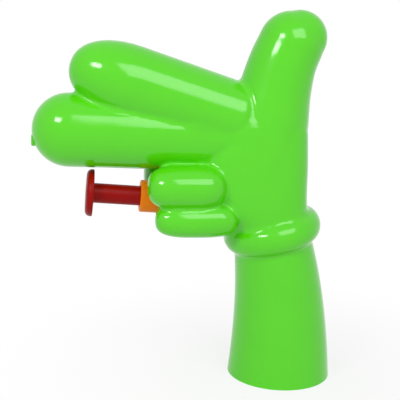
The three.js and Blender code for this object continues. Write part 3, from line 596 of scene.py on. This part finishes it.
def merged(parts):
    """All parts in one bmesh, still overlapping; the parts are used up."""
    whole = bmesh.new()
    for part in parts:
        mesh = bpy.data.meshes.new("part")
        part.to_mesh(mesh)
        part.free()
        whole.from_mesh(mesh)
        bpy.data.meshes.remove(mesh)
    return whole


def remeshed(bm, voxel):
    """One closed skin round everything in a bmesh."""
    shape = temporary_object(bm)
    modifier = shape.modifiers.new("skin", "REMESH")
    modifier.mode = "VOXEL"
    modifier.voxel_size = voxel
    made = evaluated_bmesh(shape)
    remove_object(shape)
    return made


rough_skin = remeshed(merged(FORMS), VOXEL)
print("points before smoothing:", len(rough_skin.verts))

# %% Smoothing the skin
POLISH_ROUNDS = 24
SHRINK_STEP, SWELL_STEP = 0.5, 0.52
HOLLOW_DEPTH = 0.03
CREASE_SPREAD, CREASE_ROUNDS = 4, 16


class Skin:
    """The points and neighbours of a mesh as arrays, for moving many points at once."""

    def __init__(self, bm):
        bmesh.ops.triangulate(bm, faces=bm.faces)
        bm.verts.index_update()
        self.bm = bm
        self.points = np.array([v.co for v in bm.verts])
        self.ends = np.array([[v.index for v in e.verts] for e in bm.edges])
        self.corners = np.array([[v.index for v in f.verts] for f in bm.faces])
        self.degree = np.bincount(self.ends.ravel(), minlength=len(self.points))

    def neighbour_mean(self, values):
        """The mean of one value over each point's neighbours."""
        a = np.bincount(self.ends[:, 0], values[self.ends[:, 1]], len(values))
        b = np.bincount(self.ends[:, 1], values[self.ends[:, 0]], len(values))
        return (a + b) / self.degree

    def pull(self):
        """From each point to the mean of its neighbours."""
        return np.stack([self.neighbour_mean(axis) for axis in self.points.T], axis=1) - self.points

    def normals(self):
        """Unit normals of the points, from the faces round them."""
        a, b, c = (self.points[self.corners[:, i]] for i in range(3))
        flat = np.cross(b - a, c - a)
        total = np.zeros_like(self.points)
        for corner in range(3):
            for axis in range(3):
                total[:, axis] += np.bincount(self.corners[:, corner], flat[:, axis], len(self.points))
        return total / np.linalg.norm(total, axis=1, keepdims=True)

    def polish(self, rounds):
        """Takes out small steps and keeps the size."""
        for _ in range(rounds):
            self.points += SHRINK_STEP * self.pull()
            self.points -= SWELL_STEP * self.pull()

    def soften_creases(self, spread, rounds):
        """Smooths where the skin is hollow, fading out over a few neighbours."""
        hollow = np.einsum("ij,ij->i", self.pull(), self.normals()) > HOLLOW_DEPTH
        share = hollow.astype(float)
        for _ in range(spread):
            share = np.maximum(share, self.neighbour_mean(share))
        for _ in range(rounds):
            self.points += SHRINK_STEP * share[:, None] * self.pull()

    def bmesh(self, inset=0.0):
        """The skin as a new bmesh, moved in by the inset."""
        points = self.points - self.normals() * inset
        made = self.bm.copy()
        for vert, point in zip(made.verts, points):
            vert.co = point
        return made


skin = Skin(rough_skin)
skin.polish(POLISH_ROUNDS)
skin.soften_creases(CREASE_SPREAD, CREASE_ROUNDS)
print("size of the skin:", np.ptp(skin.points, axis=0).round(1), "mm")

# %% [markdown]
# ## Hollow, seats and bores
#
# The real body is two thin half shells. The hollow is the same skin moved in by the wall. Inside, two
# saddles carry the barrel, a seat holds the nozzle, a ledge stops the base cap, and posts with pins line
# up the halves. A solidify modifier could make the wall, but it folds over itself in the creases. The
# barrel, the nozzle and the pins have their bores cut, and the base is cut flat.

# %% Places inside the shells
FLANGE_RIM, FLANGE_THICKNESS, GASKET_THICKNESS = 1.9, 1.6, 1.0
SADDLE_THICKNESS, SADDLE_HEIGHT, REAR_SADDLE_INSET = 1.6, 18, 7
NOZZLE_DROP, NOZZLE_SHANK, NOZZLE_RIM, NOZZLE_LIP = 4, 2.2, 1.2, 0.7
NOZZLE_SHOULDER, NOZZLE_SEAT, NOZZLE_SEAT_WALL, NOZZLE_HOLE = 1.6, 5, 1.4, 0.55
POST_WALL, PIN_RADIUS, PIN_LENGTH = 1.2, 1.4, 4
INDEX_POST, THUMB_POST = 0.7, 0.8
CAP_FLOOR, CAP_LEDGE, CAP_LEDGE_HEIGHT, PLUG_HEAD = 1.6, 1.4, 2, 1.3
flange = barrel + FLANGE_RIM
gasket_front = boss_back + SEAT_GAP
flange_front = gasket_front + GASKET_THICKNESS + SEAT_GAP
flange_back = flange_front + FLANGE_THICKNESS
saddle_front = flange_back + SEAT_GAP
rear_saddle = barrel_length - REAR_SADDLE_INSET
tip_x, tip_z, tip_radius, _ = MIDDLE[2]
nozzle_z = tip_z - NOZZLE_DROP
nozzle_x = tip_x - math.sqrt(tip_radius ** 2 - NOZZLE_DROP ** 2)
NOZZLE = Matrix.Translation((nozzle_x, 0, nozzle_z))
shoulder = NOZZLE_SHANK + NOZZLE_RIM
shoulder_front = NOZZLE_SEAT + SEAT_GAP
shoulder_back = shoulder_front + NOZZLE_SHOULDER
nozzle_seat_back = shoulder_back + SEAT_GAP + WALL
cap_recess = PLUG_HEAD + SEAT_GAP
cap_thickness = CAP_FLOOR + cap_recess
ledge_low = cap_thickness + SEAT_GAP


def along_finger(stations, share):
    """Where a post crosses the hollow, at a share of a finger's length."""
    x, z = Vector(stations[0][:2]).lerp(Vector(stations[-1][:2]), share)
    return Matrix.Translation((x, 0, z)) @ Matrix.Rotation(QUARTER_TURN, 4, "Z")


POSTS = [along_finger(INDEX, INDEX_POST), along_finger(THUMB[1:-1], THUMB_POST)]
print("nozzle at", round(nozzle_x, 2), round(nozzle_z, 2), "mm; posts with pins:", len(POSTS))

# %% Saddles, seat, ledge and posts
CUT = 1.0
FAR = 200


def handle_slice(inset, low, high):
    """A slice of the handle between two heights, thinned all round."""
    return loft([handle_ring(z, inset) for z in (low, high)], sides=2 * LOFT_SIDES)


def saddle(front):
    """A wall across the hollow that carries the barrel."""
    half = SADDLE_HEIGHT / 2
    return placed(block((front, -FAR, -half), (front + SADDLE_THICKNESS, FAR, half)), PUMP)


def inside_pieces():
    """All that stands in the hollow, still too long at the ends."""
    ledge_top = ledge_low + CAP_LEDGE_HEIGHT
    ledge = combine(handle_slice(WALL / 2, ledge_low, ledge_top),
                    handle_slice(WALL + CAP_LEDGE, ledge_low - CUT, ledge_top + CUT), "DIFFERENCE")
    pieces = [saddle(saddle_front), saddle(rear_saddle - SADDLE_THICKNESS), ledge,
              rod(shoulder + SLIDE_GAP + NOZZLE_SEAT_WALL, 0, nozzle_seat_back, NOZZLE)]
    post_radius = PIN_RADIUS + SLIDE_GAP + POST_WALL
    pieces += [rod(post_radius, -FAR, FAR, post) for post in POSTS]
    whole, *rest = pieces
    for piece in rest:
        whole = combine(whole, piece, "UNION")
    return whole


inside = inside_pieces()
print("faces inside:", len(inside.faces))

# %% Carving the whole body
HOLLOW_VOXEL = 1.1
VISIBLE_GAP = 0.12


def body_shell():
    """The hollow hand with its seats and bores, before it is parted."""
    outside = skin.bmesh()
    hollow = remeshed(skin.bmesh(inset=WALL), HOLLOW_VOXEL)
    pocket = rod(flange + SEAT_GAP, boss_back, saddle_front, PUMP)
    hollow = combine(hollow, pocket, "UNION")
    seats = combine(inside, skin.bmesh(inset=WALL / 2), "INTERSECT")
    shell = combine(outside, hollow, "DIFFERENCE")
    shell = combine(shell, seats, "UNION")
    cuts = [
        rod(barrel + VISIBLE_GAP, -FAR, barrel_length, PUMP),
        rod(NOZZLE_SHANK + VISIBLE_GAP, -FAR, nozzle_seat_back + CUT, NOZZLE),
        rod(shoulder + SLIDE_GAP, NOZZLE_SEAT, shoulder_back + SEAT_GAP, NOZZLE),
        block((-FAR, -FAR, -FAR), (FAR, FAR, 0)),
    ]
    return carved(shell, cuts)


shell = body_shell()
print("faces of the hollow hand:", len(shell.faces))


# %% Parting it into two halves
def half_shell(shell, side):
    """The half on one side of the parting plane; the far one has pins, the near one sockets."""
    edges = sorted((side * VISIBLE_GAP / 2, side * FAR))
    half = combine(shell.copy(), block((-FAR, edges[0], -FAR), (FAR, edges[1], FAR)), "INTERSECT")
    for post in POSTS:
        if side < 0:
            socket = rod(PIN_RADIUS + SLIDE_GAP, -PIN_LENGTH - SEAT_GAP, PIN_LENGTH, post)
            half = combine(half, socket, "DIFFERENCE")
        else:
            half = combine(half, rod(PIN_RADIUS, -PIN_LENGTH, PIN_LENGTH, post), "UNION")
    return half


for side, name in ((-1, "palm_side_shell"), (1, "knuckle_side_shell")):
    finish_piece(half_shell(shell, side), name, "green_plastic")
shell.free()

# %% [markdown]
# ## Trigger plunger
#
# One red moulding: a mushroom head for the finger, a round rod, and the piston with its seal groove. It
# could be joined from cylinders, but every join would be a hard ring. It is turned from one profile whose
# corners are rounded as the mould rounds them. The seal is a rubber ring of round section.

# %% Plunger
SPRING_SIDE_GAP, SPRING_WIRE, PILOT_LENGTH, PILOT_GAP = 1.4, 0.8, 4, 0.4
SEAL_SECTION = 0.75
HEAD_EDGE, HEAD_DIMPLE, DIMPLE_DEPTH, ROOT_FILLET = 1.9, 2.2, 0.25, 0.6
spring_radius = bore - SPRING_SIDE_GAP
pilot = spring_radius - SPRING_WIRE - PILOT_GAP
piston = bore - SLIDE_GAP
piston_middle = (piston_front + piston_back) / 2
seal_radius = piston - SEAL_SECTION
groove = seal_radius - SEAL_SECTION - SLIDE_GAP
groove_half = SEAL_SECTION + SLIDE_GAP
head_back = -TRIGGER_STROKE - STROKE_SPARE
head_front = head_back - HEAD_THICKNESS
plunger = turned([
    (0, head_front + DIMPLE_DEPTH, 0),
    (HEAD_DIMPLE, head_front + DIMPLE_DEPTH, 0.15),
    (HEAD_DIMPLE + DIMPLE_DEPTH, head_front, 0.15),
    (HEAD_RADIUS, head_front, HEAD_EDGE),
    (HEAD_RADIUS, head_back, 0.25),
    (ROD_RADIUS, head_back, ROOT_FILLET),
    (ROD_RADIUS, piston_front, 0.2),
    (piston, piston_front, 0.3),
    (piston, piston_middle - groove_half, 0.15),
    (groove, piston_middle - groove_half, 0.1),
    (groove, piston_middle + groove_half, 0.1),
    (piston, piston_middle + groove_half, 0.15),
    (piston, piston_back, 0.3),
    (pilot, piston_back, 0.1),
    (pilot, piston_back + PILOT_LENGTH, 0.4),
    (0, piston_back + PILOT_LENGTH, 0),
])
finish_piece(plunger, "trigger_plunger", "red_plastic", "trigger", place=PUMP)

# %% Seal of the piston
SEAL_SIDES = 24
seal = spun(upright_circle((piston_middle, 0, seal_radius), SEAL_SECTION, SEAL_SIDES))
finish_piece(seal, "piston_seal", "rubber", "trigger", place=PUMP)

# %% [markdown]
# ## Pump barrel, guide and gasket
#
# The orange barrel shows as a short collar where the rod goes in. Behind it a flange and a rubber gasket
# press on the shell, and a nipple at the far end feeds the valve block. A guide in the mouth carries the
# rod and stops the piston. Cylinders and cuts could make them, but a turned profile has its rounded edges
# at once.

# %% Barrel
NIPPLE_LENGTH, PORT_RADIUS = 3, 1.4
MOUTH_EDGE = 0.45
nipple = PORT_RADIUS + BARREL_WALL
nipple_end = barrel_length + NIPPLE_LENGTH
barrel_piece = turned([
    (barrel, 0, MOUTH_EDGE),
    (barrel, flange_front, 0.2),
    (flange, flange_front, 0.3),
    (flange, flange_back, 0.3),
    (barrel, flange_back, 0.2),
    (barrel, barrel_length, 0.5),
    (nipple, barrel_length, 0.2),
    (nipple, nipple_end, 0.3),
    (PORT_RADIUS, nipple_end, 0.2),
    (PORT_RADIUS, barrel_length - BARREL_WALL, 0.1),
    (bore, barrel_length - BARREL_WALL, 0.3),
    (bore, 0, 0.15),
], closed=True)
finish_piece(barrel_piece, "pump_barrel", "orange_plastic", place=PUMP)

# %% Guide and gasket
GUIDE_EDGE, GASKET_EDGE = 0.15, 0.3


def sleeve(outer, inner, start, end, edge):
    """A short pipe along X with rounded edges."""
    return turned([(outer, start, edge), (outer, end, edge), (inner, end, edge), (inner, start, edge)],
                  closed=True)


guide = sleeve(bore - SLIDE_GAP / 2, ROD_RADIUS + SLIDE_GAP, 0, GUIDE_LENGTH, GUIDE_EDGE)
finish_piece(guide, "rod_guide", "orange_plastic", place=PUMP)
gasket_back = gasket_front + GASKET_THICKNESS
gasket = sleeve(flange, barrel + SLIDE_GAP, gasket_front, gasket_back, GASKET_EDGE)
finish_piece(gasket, "barrel_gasket", "rubber", place=PUMP)

# %% [markdown]
# ## Return spring
#
# A steel wire wound into a helix pushes the trigger out again. A curve with a round bevel could draw it,
# but a wire circle that is spun with a small step along the axis gives a mesh at once. The trigger presses
# the spring, and the piece gets a mesh of its own.

# %% Winding the spring
SPRING_CURLS, CURL_STEPS, WIRE_SIDES = 9, 40, 12
wire = SPRING_WIRE / 2
spring_start = piston_back + SEAT_GAP + wire
spring_end = barrel_length - BARREL_WALL - SEAT_GAP - wire
spring_length = spring_end - spring_start
spring_steps = SPRING_CURLS * CURL_STEPS
spring = upright_circle((spring_start, 0, spring_radius - wire), wire, WIRE_SIDES)
bmesh.ops.spin(spring, geom=spring.verts[:] + spring.edges[:], cent=(0, 0, 0), axis=X_AXIS,
               angle=FULL_TURN * SPRING_CURLS, steps=spring_steps, dvec=(spring_length / spring_steps, 0, 0))
bmesh.ops.holes_fill(spring, edges=[e for e in spring.edges if e.is_boundary])
bmesh.ops.recalc_face_normals(spring, faces=spring.faces)
spring_piece = finish_piece(spring, "return_spring", "steel", place=PUMP)
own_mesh(spring_piece)

# %% [markdown]
# ## Valve block, fittings and balls
#
# Behind the barrel stands a small block with an upright channel. A steel ball closes the inlet below and
# another closes the outlet above. The block is a cube with bevelled edges and drilled holes, and each
# fitting is turned: a plug in the block, a flange on its face and a spigot for a tube. No view from outside
# shows them, but an opened toy has to be whole.

# %% Heights in the valve block
BALL_LIFT, CHANNEL_BELOW, CHANNEL_ABOVE, CHANNEL_RADIUS = 1, 1.8, 2.6, 1.4
FITTING_BORE, FITTING_PLUG, FITTING_RIM, FITTING_FLANGE = 0.7, 2.6, 1.2, 1.4
SPIGOT_WALL, SPIGOT_LENGTH, TUBE_WALL = 0.4, 4.2, 0.6
BYPASS_WIDTH, BYPASS_DEPTH, BLOCK_CORNER = 1.2, 1.4, 2
VALVES = PUMP @ Matrix.Translation((block_middle, 0, 0))
STAND_UP = Matrix.Rotation(-QUARTER_TURN, 4, "Y")
UPWARDS = VALVES @ STAND_UP
spigot = FITTING_BORE + SPIGOT_WALL
tube_bore = spigot + SLIDE_GAP
tube_radius = tube_bore + TUBE_WALL


def seated(hole):
    """How far a ball's centre stands from the rim of the hole it closes."""
    return math.sqrt(BALL_RADIUS ** 2 - hole ** 2) + SLIDE_GAP


inlet_ball = -CHANNEL_BELOW - SLIDE_GAP - BALL_LIFT - BALL_RADIUS
inlet_seat = inlet_ball - seated(FITTING_BORE)
outlet_ball = CHANNEL_ABOVE + seated(CHANNEL_RADIUS)
outlet_stop = outlet_ball + BALL_RADIUS + BALL_LIFT + SLIDE_GAP
block_low, block_high = inlet_seat - FITTING_PLUG, outlet_stop + FITTING_PLUG
print("balls at", round(inlet_ball, 2), "and", round(outlet_ball, 2), "mm from the pump's axis")

# %% Valve block
CORNER_STEPS = 6
RIM_EDGE, RIM_STEPS = 0.3, 2


def softened(bm, level, width, steps):
    """Rounds the level edges of a moulding, or all others."""
    edges = [e for e in bm.edges if (abs(e.verts[0].co.z - e.verts[1].co.z) < WELD) == level]
    bmesh.ops.bevel(bm, geom=edges, offset=width, segments=steps, profile=ROUND_PROFILE, affect="EDGES",
                    material=-1)
    return bm


def valve_block():
    """A cube with a channel for the balls and a socket for the barrel's nipple."""
    body = block((-block_half, -block_half, block_low), (block_half, block_half, block_high))
    body = softened(body, False, BLOCK_CORNER, CORNER_STEPS)
    body = softened(body, True, RIM_EDGE, RIM_STEPS)
    socket = NIPPLE_LENGTH + SEAT_GAP - block_half
    side = BALL_RADIUS + BYPASS_DEPTH
    cuts = [
        rod(chamber, block_low - CUT, -CHANNEL_BELOW, STAND_UP),
        rod(CHANNEL_RADIUS, -CHANNEL_BELOW - CUT, CHANNEL_ABOVE + CUT, STAND_UP),
        rod(chamber, CHANNEL_ABOVE, block_high + CUT, STAND_UP),
        rod(nipple + SLIDE_GAP, -block_half - CUT, socket),
        rod(PORT_RADIUS, socket - CUT, 0),
        block((-BYPASS_WIDTH / 2, -side, -CHANNEL_BELOW - BALL_RADIUS),
              (BYPASS_WIDTH / 2, side, -CHANNEL_BELOW + BYPASS_DEPTH)),
    ]
    return placed(carved(body, cuts), VALVES)


finish_piece(valve_block(), "valve_block", "white_plastic")


# %% Fittings
def fitting(plug_end, face):
    """A tube fitting going along +X from the end of its plug."""
    flange_low = face + SEAT_GAP
    spigot_low = flange_low + FITTING_FLANGE
    top = spigot_low + SPIGOT_LENGTH
    return turned([
        (chamber - SLIDE_GAP, plug_end, 0.2),
        (chamber - SLIDE_GAP, flange_low, 0.1),
        (chamber + FITTING_RIM, flange_low, 0.25),
        (chamber + FITTING_RIM, spigot_low, 0.25),
        (spigot, spigot_low, 0.15),
        (spigot, top, 0.15),
        (FITTING_BORE, top, 0.1),
        (FITTING_BORE, plug_end, 0.1),
    ], closed=True)


slot_cut = block((outlet_stop - CUT, -chamber, -BYPASS_WIDTH / 2),
                 (outlet_stop + BYPASS_DEPTH, chamber, BYPASS_WIDTH / 2))
outlet = combine(fitting(outlet_stop, block_high), slot_cut, "DIFFERENCE")
finish_piece(outlet, "outlet_fitting", "white_plastic", place=UPWARDS)
downwards = VALVES @ Matrix.Rotation(QUARTER_TURN, 4, "Y")
inlet = fitting(-inlet_seat, -block_low)
finish_piece(inlet, "inlet_fitting", "white_plastic", place=downwards)

# %% Valve balls
BALL_SUBDIVISIONS = 4
for name, height in (("inlet_ball", inlet_ball), ("outlet_ball", outlet_ball)):
    ball = bmesh.new()
    bmesh.ops.create_icosphere(ball, subdivisions=BALL_SUBDIVISIONS, radius=BALL_RADIUS)
    finish_piece(ball, name, "steel", name, place=VALVES @ Matrix.Translation((0, 0, height)))

# %% [markdown]
# ## The two soft tubes
#
# A milky dip tube hangs from the inlet to just above the base, and a second tube runs from the outlet
# round through the palm onto the nozzle. The first is turned. The second could be a curve object with a
# bevel, but its bore would be missing. It is a loft along straight ends and one Bezier curve, with its wall
# made by solidify.

# %% Dip tube
DIP_RISE, TUBE_EDGE = 2, 0.1
tube_start = SEAT_GAP + FITTING_FLANGE + SEAT_GAP
block_z = mouth_z - block_middle * math.sin(PUMP_TILT)
dip_end = -(block_z - cap_thickness - DIP_RISE) / math.cos(PUMP_TILT)
dip = sleeve(tube_radius, tube_bore, dip_end, block_low - tube_start, TUBE_EDGE)
finish_piece(dip, "dip_tube", "clear_tube", place=UPWARDS)

# %% Outlet tube
OUTLET_CLIMB, OUTLET_RUN = 2.2, 0.55
TUBE_STEPS, TUBE_SIDES = 60, 32


def outlet_route():
    """Points along the outlet tube, from the valve block to the nozzle."""
    up, back = VALVES.to_3x3() @ Z_AXIS, X_AXIS
    start = VALVES @ Vector((0, 0, block_high + tube_start))
    leave = start + up * SPIGOT_LENGTH
    end = Vector((nozzle_x + nozzle_seat_back + SEAT_GAP, 0, nozzle_z))
    arrive = end + back * SPIGOT_LENGTH
    climb = leave + up * OUTLET_CLIMB * (nozzle_z - leave.z)
    run = arrive + back * OUTLET_RUN * (leave.x - arrive.x)
    points = [start]
    for t in np.linspace(0, 1, TUBE_STEPS):
        s = 1 - t
        points.append(leave * s ** 3 + climb * 3 * s * s * t + run * 3 * s * t * t + arrive * t ** 3)
    return points + [end]


def tube_along(points, radius, inner):
    """A pipe along points in the XZ plane."""
    rings = []
    for i, point in enumerate(points):
        along = (points[min(i + 1, len(points) - 1)] - points[max(i - 1, 0)]).normalized()
        rings.append(ring_at(point, along.cross(Y_AXIS) * radius, Y_AXIS * radius, along))
    bm = loft(rings, sides=TUBE_SIDES, capped=False)
    bmesh.ops.solidify(bm, geom=bm.faces[:], thickness=radius - inner)
    return bm


outlet_tube = tube_along(outlet_route(), tube_radius, tube_bore)
finish_piece(outlet_tube, "outlet_tube", "clear_tube")

# %% [markdown]
# ## Nozzle, base cap and filler plug
#
# The nozzle is a small green nub with a jet hole at the lower fingertip. The base cap closes the handle
# with a flat disc that holds the filler neck, and the white plug pulls out of it by a nail notch. Nozzle and
# plug are round, so they are turned. The cap follows the oval handle, so it is a slice of it with cuts.

# %% Nozzle
nozzle = turned([
    (NOZZLE_SHANK, -NOZZLE_LIP, 0.35),
    (NOZZLE_SHANK, shoulder_front, 0.1),
    (shoulder, shoulder_front, 0.2),
    (shoulder, shoulder_back, 0.2),
    (spigot, shoulder_back, 0.15),
    (spigot, nozzle_seat_back + SPIGOT_LENGTH, 0.15),
    (NOZZLE_HOLE, nozzle_seat_back + SPIGOT_LENGTH, 0.1),
    (NOZZLE_HOLE, -NOZZLE_LIP, 0.2),
], closed=True)
finish_piece(nozzle, "nozzle_tip", "green_plastic", place=NOZZLE)

# %% Base cap
FILLER_OFFSET, FILLER_RADIUS, FILLER_NECK_WALL, FILLER_NECK_HEIGHT = 8, 4, 1.5, 4
PLUG_RIM, NAIL_NOTCH = 1.5, 3
STANDING = Matrix.Translation((FILLER_OFFSET, 0, 0)) @ STAND_UP
plug_head = FILLER_RADIUS + PLUG_RIM
neck_top = cap_thickness + FILLER_NECK_HEIGHT


def base_cap():
    """A disc with the filler neck and a recess for the plug's head."""
    disc = softened(handle_slice(WALL + SEAT_GAP / 2, 0, cap_thickness), True, RIM_EDGE, RIM_STEPS)
    neck = rod(FILLER_RADIUS + FILLER_NECK_WALL, cap_recess, neck_top, STANDING)
    disc = combine(disc, neck, "UNION")
    notch = Matrix.Translation((plug_head, 0, 0))
    cuts = [
        rod(FILLER_RADIUS, -CUT, neck_top + CUT, STANDING),
        rod(plug_head + SEAT_GAP, -CUT, cap_recess, STANDING),
        rod(NAIL_NOTCH, -CUT, cap_recess, notch @ STANDING),
    ]
    return carved(disc, cuts)


finish_piece(base_cap(), "base_cap", "green_plastic")

# %% Filler plug
PLUG_REACH = 1.2
plug_radius = FILLER_RADIUS - SLIDE_GAP
plug = turned([
    (0, SEAT_GAP, 0),
    (plug_head, SEAT_GAP, 0.3),
    (plug_head, PLUG_HEAD, 0.2),
    (plug_radius, PLUG_HEAD, 0.1),
    (plug_radius, neck_top, 0.2),
    (plug_radius - PLUG_REACH, neck_top + PLUG_REACH, 0.3),
    (0, neck_top + PLUG_REACH, 0),
])
finish_piece(plug, "filler_plug", "white_plastic", "filler_plug", place=STANDING)

# %% [markdown]
# ## Floor, light and camera
#
# The toy stands on a plain pale floor under two soft lamps. The camera looks at the palm side from a little
# in front and a little above, as the photograph does. A bright world would give a white background, but it
# would also wash out the colours. So the world is dim as a lamp, and white for rays from the camera, in a
# gloss or through clear stuff. The floor is white in the same way, but near the toy it keeps its shadow.

# %% Floor
FLOOR_HALF = 3.0
SHADOW_SHARE = 0.2
SHADOW_REACH = 0.13


def seen_directly(tree):
    """1 for rays that show the background as such: from the camera, in a gloss or through clear stuff."""
    rays = add_node(tree, "ShaderNodeLightPath")
    seen = rays.outputs["Is Camera Ray"]
    for kind in ("Is Glossy Ray", "Is Transmission Ray"):
        seen = add_node(tree, "ShaderNodeMath", {"operation": "MAXIMUM"},
                        links={0: seen, 1: rays.outputs[kind]}).outputs[0]
    return seen


def end_in_mix(tree, kind, share, plain, white):
    """Ends a node tree in an output that shows the white shader by its share."""
    mixed = add_node(tree, "ShaderNodeMixShader", links={0: share, 1: plain.outputs[0], 2: white.outputs[0]})
    add_node(tree, kind, links={"Surface": mixed.outputs[0]})


floor_bm = bmesh.new()
bmesh.ops.create_grid(floor_bm, x_segments=1, y_segments=1, size=FLOOR_HALF)
floor_mesh = bpy.data.meshes.new("floor_mesh")
floor_bm.to_mesh(floor_mesh)
floor_bm.free()
floor = bpy.data.objects.new("floor", floor_mesh)
bpy.context.scene.collection.objects.link(floor)
paper = bpy.data.materials.new("white_paper")
paper.use_nodes = True
tree = paper.node_tree
tree.nodes.clear()
matt = add_node(tree, "ShaderNodeBsdfDiffuse", values={"Color": linear("#f0f0f0")})
glow = add_node(tree, "ShaderNodeEmission", values={"Color": linear("#ffffff"), "Strength": 1.0})
place = add_node(tree, "ShaderNodeTexCoord").outputs["Object"]
away = add_node(tree, "ShaderNodeVectorMath", {"operation": "LENGTH"}, links={0: place})
white_share = add_node(tree, "ShaderNodeMapRange", {"interpolation_type": "SMOOTHSTEP"},
                       values={"From Max": SHADOW_REACH, "To Min": 1 - SHADOW_SHARE},
                       links={"Value": away.outputs["Value"]})
share = add_node(tree, "ShaderNodeMath", {"operation": "MULTIPLY"},
                 links={0: seen_directly(tree), 1: white_share.outputs["Result"]})
end_in_mix(tree, "ShaderNodeOutputMaterial", share.outputs[0], matt, glow)
floor_mesh.materials.append(paper)
print("floor:", 2 * FLOOR_HALF, "m wide")

# %% World
WORLD_LIGHT = 0.38
world = bpy.data.worlds.new("studio")
bpy.context.scene.world = world
world.use_nodes = True
tree = world.node_tree
tree.nodes.clear()
soft = add_node(tree, "ShaderNodeBackground", values={"Color": linear("#ffffff"), "Strength": WORLD_LIGHT})
white = add_node(tree, "ShaderNodeBackground", values={"Color": linear("#ffffff"), "Strength": 1.0})
end_in_mix(tree, "ShaderNodeOutputWorld", seen_directly(tree), soft, white)
print("light from all round:", WORLD_LIGHT)

# %% Lamps
AIM = Vector((-0.03, 0, 0.075))
LAMP_DISTANCE = 0.7
LAMPS = {
    "wide_softbox": {"azimuth": 22, "elevation": 40, "width": 0.46, "height": 0.36, "radiance": 3.6},
    "small_key": {"azimuth": -43, "elevation": 33, "width": 0.2, "height": 0.13, "radiance": 19.0},
}
for name, lamp in LAMPS.items():
    azimuth, elevation = math.radians(lamp["azimuth"]), math.radians(lamp["elevation"])
    towards = Vector((math.sin(azimuth) * math.cos(elevation), -math.cos(azimuth) * math.cos(elevation),
                      math.sin(elevation)))
    light = bpy.data.lights.new(name, "AREA")
    light.shape = "RECTANGLE"
    light.size, light.size_y = lamp["width"], lamp["height"]
    light.energy = math.pi * lamp["width"] * lamp["height"] * lamp["radiance"]
    box = bpy.data.objects.new(name, light)
    box.location = AIM + towards * LAMP_DISTANCE
    box.rotation_euler = (-towards).to_track_quat("-Z", "Y").to_euler()
    bpy.context.scene.collection.objects.link(box)
    print(f"{name}: {light.energy:.2f} W")

# %% Camera
CAMERA_PLACE = Vector((-0.08280, -0.32354, 0.14469))
CAMERA_TARGET = Vector((-0.03444, 0, 0.07097))
CAMERA_ROLL = math.radians(2.0)
CAMERA_LENS, CAMERA_NEAR = 78.4, 0.01
camera_data = bpy.data.cameras.new("photo_camera")
camera_data.lens = CAMERA_LENS
camera_data.clip_start = CAMERA_NEAR
camera = bpy.data.objects.new("photo_camera", camera_data)
camera.location = CAMERA_PLACE
look = (CAMERA_TARGET - CAMERA_PLACE).to_track_quat("-Z", "Y").to_matrix()
camera.rotation_euler = (look @ Matrix.Rotation(CAMERA_ROLL, 3, "Z")).to_euler()
bpy.context.scene.collection.objects.link(camera)
bpy.context.scene.camera = camera
bpy.context.scene.view_settings.view_transform = "Standard"
print("camera distance:", round((CAMERA_TARGET - CAMERA_PLACE).length, 3), "m")
